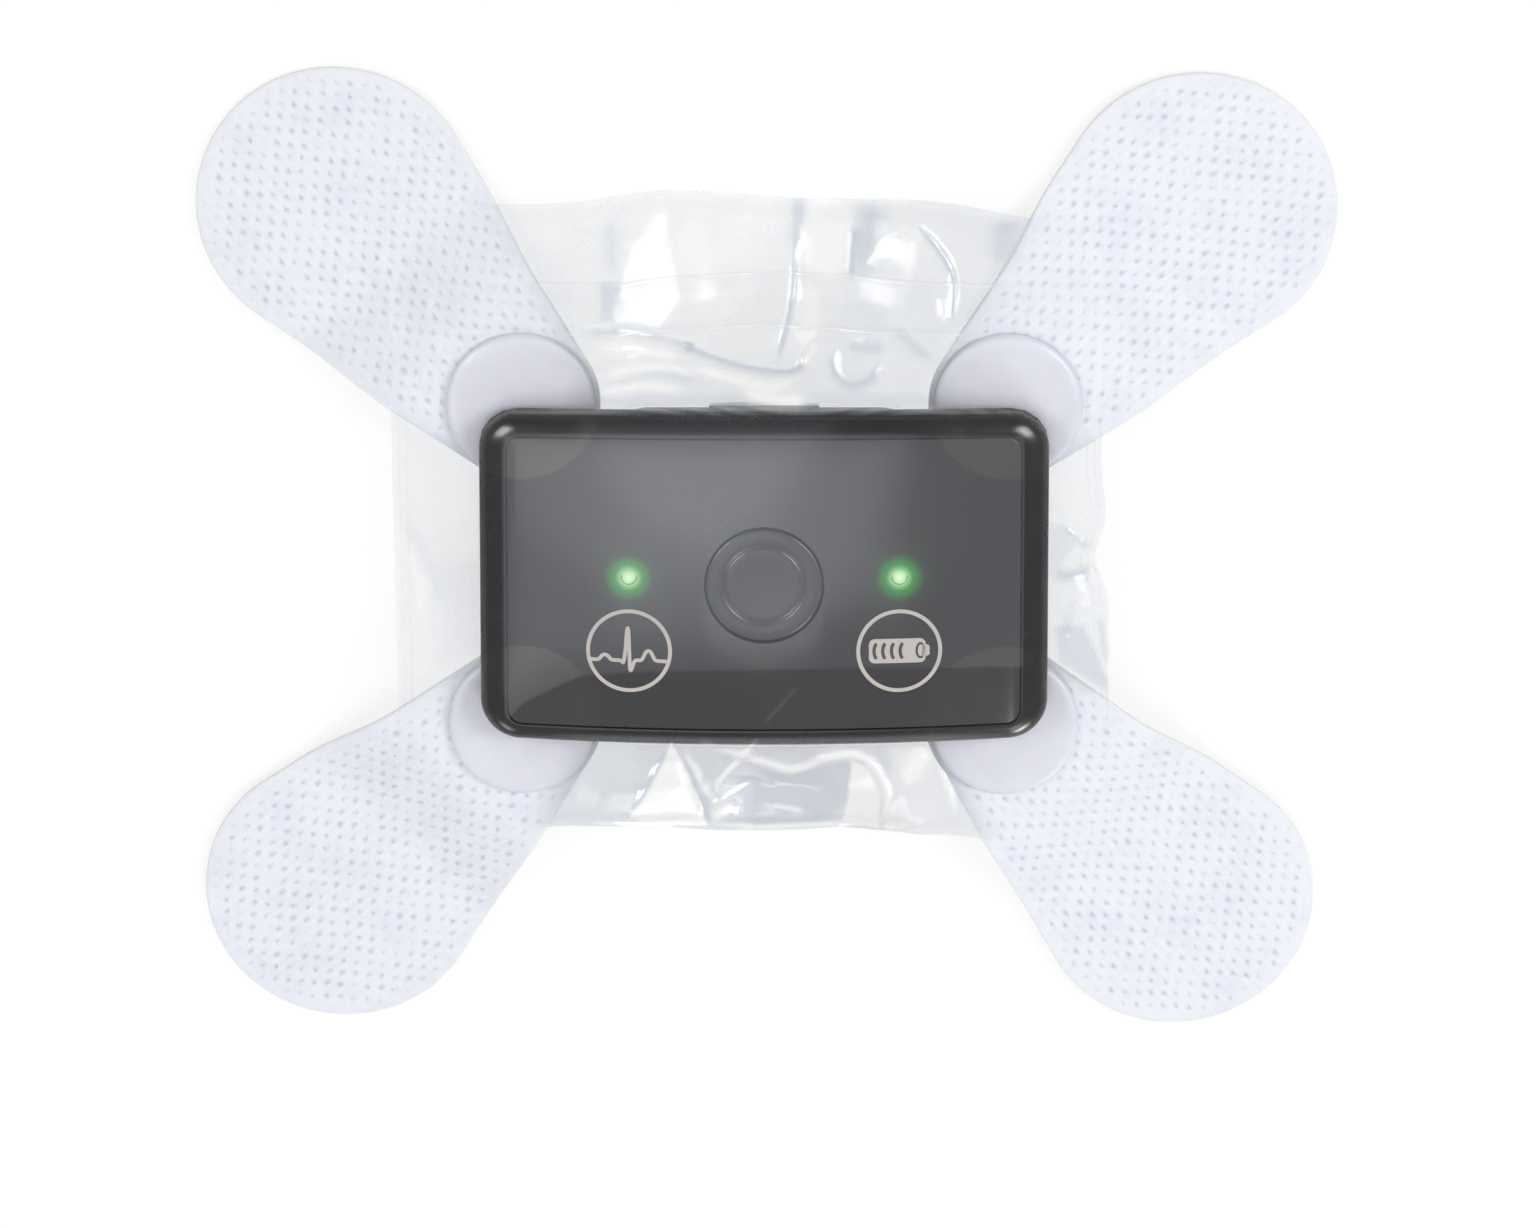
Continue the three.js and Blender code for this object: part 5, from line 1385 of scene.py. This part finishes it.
def nearest_on(places, line):
    """How far places lie from a line of points, and what share of the line leads to the nearest spot."""
    lengths = np.linalg.norm(np.diff(line, axis=0), axis=1)
    run = np.concatenate([[0], np.cumsum(lengths)])
    least = np.full(len(places), np.inf)
    share = np.zeros(len(places))
    for k, (start, end) in enumerate(zip(line, line[1:])):
        along = end - start
        part = np.clip((places - start) @ along / max(along @ along, 1e-12), 0, 1)
        away = np.linalg.norm(places - start - part[:, None] * along, axis=1)
        closer = away < least
        least = np.where(closer, away, least)
        share = np.where(closer, (run[k] + part * lengths[k]) / run[-1], share)
    return least, share


def stroke(places, line, width):
    """1 on a line and 0 away from it; the stroke thins and fades towards its two ends."""
    least, share = nearest_on(places, line)
    body = gentle(np.minimum(share, 1 - share), -0.03, 0.22)
    return np.exp(-((least / (width * (0.55 + 0.45 * body))) ** 2)) * (0.15 + 0.85 * body)


def within(places, corners):
    """How far places lie inside a closed outline; less than zero is outside."""
    corners = np.array(corners, float)
    least, _ = nearest_on(places, np.vstack([corners, corners[:1]]))
    inside = np.zeros(len(places), bool)
    for (ax, ay), (bx, by) in zip(corners, np.roll(corners, -1, axis=0)):
        if ay == by:
            continue
        crosses = (places[:, 1] > ay) != (places[:, 1] > by)
        inside ^= crosses & (places[:, 0] < (bx - ax) * (places[:, 1] - ay) / (by - ay) + ax)
    return np.where(inside, least, -least)


def seen_places(tilt, x, y, z):
    """Places as the tilted camera sees them, across and up from the recorder's middle."""
    return np.stack([x, y * math.cos(tilt) - z * math.sin(tilt)], axis=1)


class RECORDER_OT_pouch(bpy.types.Operator):
    """Lays the crumpled front and back films of the clear pouch, and its closure strip"""

    bl_idname = "recorder.pouch"
    bl_label = "Film pouch"

    # The edges in plan, the films' length and width within their hems, and a height above it all
    left, right = mm(-57.6), mm(53.6)
    upper_left, upper_right, upper_bulge = mm(57.1), mm(54.9), mm(1.8)
    lower_left, lower_right = mm(-45.1), mm(-46.6)
    length, width = mm(111), mm(100)
    above = mm(60)
    # Half the CAD films' thickness, and how far in towards the middle a place may be looked for in them
    half = mm(0.15)
    inwards = (1, 0.985, 0.97, 0.94, 0.9, 0.86)
    # Height of the films' crumples, and how many broad and fine ones there are to the metre
    crumple_height = mm(0.35)
    broad_crumples, fine_crumples = 70, 180

    def grid(self, name, columns, rows):
        """A flat grid, a metre on each side."""
        return add(name, bpy.ops.mesh.primitive_grid_add, x_subdivisions=columns, y_subdivisions=rows, size=1)

    def outline(self, u, v):
        """Where shares of the pouch's length and width lie, in plan, with its pinched right edge."""
        upper = self.upper_left + (self.upper_right - self.upper_left) * u
        upper += self.upper_bulge * (1 - (2 * u - 1) ** 2) + mm(0.5) * np.sin(17 * u + 1)
        lower = self.lower_left + (self.lower_right - self.lower_left) * u - mm(0.3) * np.sin(9 * u + 0.4)
        for middle, spread, rise in ((0.24, 0.13, 3.1), (0.76, 0.13, 2.3), (0.5, 0.12, -0.9)):
            lower = lower + mm(rise) * np.exp(-(((u - middle) / spread) ** 2))
        y = lower + (upper - lower) * v
        pinch = mm(2.2) * np.exp(-(((y - mm(1)) / mm(4.5)) ** 2))
        right = self.right - pinch - mm(1.4) * gentle(y, mm(2), mm(18))
        left = self.left + mm(0.9) * np.clip((mm(12) - y) / mm(50), 0, 1)
        return left + (right - left) * u, y

    def heights(self, node, x, y, down):
        """The middle of a CAD film under or over each place, or under the nearest one that it has."""
        found = []
        for across, along in zip(x, y):
            for share in self.inwards:
                start = Vector((across * share, along * share, self.above * down))
                hit, spot, _, _ = node.ray_cast(start, Vector((0, 0, -down)))
                if hit:
                    found.append(spot.z - self.half * down)
                    break
            else:
                raise RuntimeError(f"the pouch leaves its solid at {across:.4f}, {along:.4f}")
        return np.array(found)

    def smoothed(self, values, rows, times):
        """Values on the grid, each drawn towards its neighbours."""
        table = values.reshape(rows, -1).copy()
        for _ in range(times):
            padded = np.pad(table, 1, mode="edge")
            around = padded[:-2, 1:-1] + padded[2:, 1:-1] + padded[1:-1, :-2] + padded[1:-1, 2:]
            table = (around + 4 * table) / 8
        return table.ravel()

    def from_sheets(self, settings, seen, tilt):
        """How far outside the nearest electrode's sheet each place looks to the tilted camera."""
        bend = Bend(settings)
        table = np.array([bend.at(mm(step))[:2] for step in range(-6, 72)])
        reach = bend.at(settings.broad_offset)[0]
        best = np.full(len(seen), np.inf)
        for name in CORNERS:
            corner = Corner(name)
            height = np.full(len(seen), mm(6))
            for _ in range(4):
                across = seen[:, 0] - corner.stud.x
                along = (seen[:, 1] + height * math.sin(tilt)) / math.cos(tilt) - corner.stud.y
                out = across * corner.cos + along * corner.sin
                beside = np.abs(along * corner.cos - across * corner.sin)
                height = np.interp(out, table[:, 0], table[:, 1]) + mm(0.5)
            share = np.clip((out - settings.disc_offset) / (reach - settings.disc_offset), 0, 1)
            middle = settings.disc_offset + share * (reach - settings.disc_offset)
            radius = settings.narrow_radius + share * (settings.broad_radius - settings.narrow_radius)
            best = np.minimum(best, np.hypot(out - middle, beside) - radius)
        return best

    def from_recorder(self, settings, seen, tilt):
        """How far outside the housing each place looks to the tilted camera."""
        crown = Crown(settings)
        across, up = np.abs(seen[:, 0]), seen[:, 1]
        drop = np.array([crown.drop(min(value, HALF_LENGTH)) for value in across]) * math.sin(tilt)
        reach = (HALF_WIDTH + crown.bulge * (1 - np.clip(across / HALF_LENGTH, 0, 1) ** 2)) * math.cos(tilt)
        low = -reach - BEZEL_FOOT * math.sin(tilt) + drop
        high = reach - WALL_FOOT * math.sin(tilt) + drop * 0.6
        radius = settings.corner_radius
        out_x = across - HALF_LENGTH + radius
        out_y = np.maximum(low - up, up - high) + radius
        beyond = np.hypot(np.maximum(out_x, 0), np.maximum(out_y, 0)) - radius
        return beyond + np.minimum(np.maximum(out_x, out_y), 0)

    def tell(self, mesh, **attributes):
        """Gives a film's mesh the attributes that its material reads."""
        for name, values in attributes.items():
            made = mesh.attributes.new(name, "FLOAT", "POINT")
            made.data.foreach_set("value", np.asarray(values, np.float32))

    def folded(self, seen):
        """How hazy the front film is at each place, the painted highlight and painted shade on it, and how
        far its folds lift it.
        """
        haze, glare, lift = np.full(len(seen), 0.16), np.full(len(seen), 0.1), np.zeros(len(seen))
        for points, width, tone, cloud, rise in FOLDS:
            fold = stroke(seen, curved(points) * MM, mm(width))
            haze += cloud * fold
            glare += tone * fold
            lift += mm(rise) * fold
        for corners, soft, tone, cloud in PATCHES:
            inside = gentle(within(seen, np.array(corners) * MM), -mm(soft), mm(soft))
            haze += cloud * inside
            glare += tone * inside
        return haze, glare, lift

    def film(self, scene, side, node, down, under=None):
        """One film of the pouch, over the recorder where down is 1 and under it where down is -1."""
        settings = scene.recorder_pouch
        tilt = scene.recorder_stage.tilt
        piece = self.grid(f"{side}_film", settings.columns, settings.rows)
        mesh = piece.data
        share = np.zeros(len(mesh.vertices) * 3)
        mesh.vertices.foreach_get("co", share)
        share = share.reshape(-1, 3)[:, :2] + 0.5
        u, v = share[:, 0], share[:, 1]
        x, y = self.outline(u, v)
        raw = self.heights(node, x, y, down)
        z = self.smoothed(raw, settings.rows + 1, times=4)
        beside = np.maximum(np.abs(x) - HALF_LENGTH, np.abs(y) - HALF_WIDTH)
        near = 1 - gentle(beside, mm(0.5), mm(4))
        if down > 0:
            z = np.maximum(z, raw - mm(0.05)) * near + z * (1 - near)
        else:
            z = np.minimum(z, raw + mm(0.05))

        seen = seen_places(tilt, x, y, z)
        if down > 0:
            haze, glare, lift = self.folded(seen)
        else:
            # Lower in the picture the back film is hazier and carries painted shade.
            low = gentle(-seen[:, 1], mm(24), mm(34))
            haze, glare, lift = 0.12 + 0.16 * low, 0.1 - 0.15 * low, 0

        def crumpled(across, along):
            broad, fine = self.broad_crumples, self.fine_crumples
            rough = noise.noise(Vector((across * broad, along * broad, down)))
            return rough + 0.5 * noise.noise(Vector((across * fine, along * fine, down * 3)))

        crumple = np.array([crumpled(*place) for place in zip(x, y)])
        free = gentle(beside, mm(0.6), mm(4))
        hem = np.minimum(np.minimum(u, 1 - u) * self.length, np.minimum(v, 1 - v) * self.width)
        free = free * gentle(hem, mm(0.8), mm(4))
        z = z + free * (lift + self.crumple_height * crumple)
        # Painted highlight on the crumples' rises and painted shade in their hollows.
        glare += 0.25 * crumple * free
        if under is not None:
            sealed = 1 - gentle(hem, mm(0.6), mm(3.2))
            z = np.maximum(z, under + mm(0.3)) * (1 - sealed) + (under + mm(0.12)) * sealed
        mesh.vertices.foreach_set("co", np.stack([x, y, z], axis=1).ravel())
        mesh.update()

        flat = mesh.uv_layers.new(name="flat")
        corners = np.zeros(len(mesh.loops), int)
        mesh.loops.foreach_get("vertex_index", corners)
        size = np.array([self.right - self.left, self.upper_left - self.lower_left])
        flat.data.foreach_set("uv", (share * size)[corners].ravel().astype(np.float32))
        seen = seen_places(tilt, x, y, z)
        apart = self.from_sheets(scene.recorder_electrode, seen, tilt)
        outside = np.ones(len(x))
        if down > 0:
            outside = self.from_recorder(scene.recorder_housing, seen, tilt)
        self.tell(mesh, haze=haze, glare=glare, apart=apart, beside=outside)
        return piece, z

    def strip(self, scene, front):
        """The closure strip: two ribs along the front film, and the dip between them."""
        low, high = mm(38.1), mm(46.3)
        start, end = self.left + mm(1.5), self.right - mm(3.5)
        piece = self.grid("closure_strip_film", columns=180, rows=20)

        def laid(co):
            x = start + (end - start) * (co.x + 0.5)
            y = low + (high - low) * (co.y + 0.5)
            hit, spot, _, _ = front.ray_cast(Vector((x, y, self.above)), Vector((0, 0, -1)))
            rib = math.exp(-(((abs(co.y) - 0.44) / 0.05) ** 2))
            return Vector((x, y, (spot.z if hit else mm(4)) + mm(0.2) + mm(0.4) * rib))

        reshape(piece, laid)
        mesh = piece.data
        flat = mesh.uv_layers.new(name="flat")
        for loop in mesh.loops:
            co = mesh.vertices[loop.vertex_index].co
            flat.data[loop.index].uv = (co.x - start, co.y - low)
        x, y, z = np.array([vertex.co for vertex in mesh.vertices]).T
        edge = np.minimum(np.abs(y - low), np.abs(high - y))
        ribs = np.exp(-(((edge - mm(0.4)) / mm(0.35)) ** 2))
        tilt = scene.recorder_stage.tilt
        apart = self.from_sheets(scene.recorder_electrode, seen_places(tilt, x, y, z), tilt)
        # Painted highlight along the strip's ribs.
        self.tell(mesh, haze=0.07 + 0.3 * ribs, glare=0.3 + 0.7 * ribs, apart=apart, beside=np.ones(len(x)))
        return piece

    def execute(self, context):
        scene = context.scene
        finish = clear_film("film_finish", scene.recorder_pouch.film_colour, self.right - self.left)
        nodes = {side: frame["nodes"][f"pouch_{side}_film"] for side in ("front", "back")}
        back, low = self.film(scene, "back", nodes["back"], -1)
        front, _ = self.film(scene, "front", nodes["front"], 1, low)
        strip = self.strip(scene, front)
        studs = [Corner(name).stud.xy for name in CORNERS]

        def round_a_stud(face):
            return any((face.center.xy - stud).length < mm(2.2) for stud in studs)

        pick(back, "FACE", round_a_stud)
        bpy.ops.mesh.delete(type="FACE")
        done()
        for piece, node in ((front, "front_film"), (back, "back_film"), (strip, "closure_strip")):
            dress(piece, finish, "recorder", "film", f"pouch_{node}", angle=None)
        return {"FINISHED"}


# What the frame already shows, finished


class RECORDER_OT_inside(bpy.types.Operator):
    """Finishes the back shell, the port cover, the screws and all that the housing holds"""

    bl_idname = "recorder.inside"
    bl_label = "Back shell and inner pieces"

    def execute(self, context):
        settings = context.scene.recorder_housing
        shell = moulded_plastic("back_finish", settings.shell_colour, 0.42, mm(0.3), mm(0.003))
        rubber = moulded_plastic("rubber_finish", (0.012, 0.012, 0.013), 0.6, mm(0.2), mm(0.01))
        chip = moulded_plastic("chip_finish", (0.012, 0.012, 0.014), 0.45, mm(0.1), mm(0.01))
        board = circuit_board("board_finish")
        cell = cell_foil("cell_finish")
        steel = bright_metal("steel_finish", (0.55, 0.55, 0.56), 0.3)
        lamp = lit_lens("lamp_finish", settings.light_colour, *LIGHT_PLACE)
        pieces = [
            ("back_shell", "back_moulding", shell, "housing", mm(0.12)),
            ("port_cover", "port_flap", rubber, "seal", mm(0.12)),
            ("seal_gasket", "rim_seal", rubber, "seal", 0),
            ("event_switch", "tact_switch", steel, "steel", mm(0.05)),
            ("main_board", "main_circuit", board, "board", 0),
            ("charge_board", "charge_circuit", board, "board", 0),
            ("board_connector", "pin_connector", chip, "chip", mm(0.08)),
            ("processor_chip", "processor", chip, "chip", mm(0.06)),
            ("memory_chip", "memory", chip, "chip", mm(0.06)),
            ("charging_socket", "socket_shroud", steel, "steel", mm(0.04)),
            ("battery_cell", "pouch_cell", cell, "cell", mm(0.3)),
            ("left_lamp", "left_lamp_body", lamp, "light", mm(0.05)),
            ("right_lamp", "right_lamp_body", lamp, "light", mm(0.05)),
        ]
        for name in CORNERS:
            pieces.append((f"{name}_screw", f"{name}_fixing", steel, "steel", 0))
            pieces.append((f"{name}_snap_socket", f"{name}_contact", steel, "steel", 0))
        for node, name, finish, slot, width in pieces:
            piece = softened(node, name, width)
            if name.endswith("_fixing"):
                low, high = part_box(node)
                x, y, _ = (low + high) / 2
                socket = post(f"{name}_socket", SOCKET_RADIUS, low.z - mm(0.5), low.z + SOCKET_DEPTH, x, y, 6)
                carve(piece, socket)
            body = "port_cover" if node == "port_cover" else "recorder"
            dress(piece, finish, body, slot, node, angle=35)
        return {"FINISHED"}


class RECORDER_PT_tools(bpy.types.Panel):
    """The recorder's pieces, each built by its own button"""

    bl_label = "Recorder"
    bl_idname = "RECORDER_PT_tools"
    bl_space_type = "VIEW_3D"
    bl_region_type = "UI"
    bl_category = "Recorder"

    def draw(self, context):
        for owner in SETTINGS:
            settings = getattr(context.scene, owner)
            box = self.layout.box()
            for name in settings.__annotations__:
                box.prop(settings, name)
        for operator in OPERATORS:
            self.layout.operator(operator.bl_idname)


SETTINGS = {
    "recorder_housing": HousingSettings,
    "recorder_electrode": ElectrodeSettings,
    "recorder_pouch": PouchSettings,
    "recorder_stage": StageSettings,
}
OPERATORS = (
    RECORDER_OT_stage,
    RECORDER_OT_pouch,
    RECORDER_OT_cover,
    RECORDER_OT_label,
    RECORDER_OT_key,
    RECORDER_OT_electrodes,
    RECORDER_OT_discs,
    RECORDER_OT_inside,
)


def register():
    for made in (*SETTINGS.values(), *OPERATORS, RECORDER_PT_tools):
        bpy.utils.register_class(made)
    for name, settings in SETTINGS.items():
        setattr(bpy.types.Scene, name, PointerProperty(type=settings))


def unregister():
    for name in SETTINGS:
        delattr(bpy.types.Scene, name)
    for made in reversed((*SETTINGS.values(), *OPERATORS, RECORDER_PT_tools)):
        bpy.utils.unregister_class(made)


def main():
    register()
    for operator in OPERATORS:
        area, name = operator.bl_idname.split(".")
        getattr(getattr(bpy.ops, area), name)()


if __name__ == "__main__":
    main()
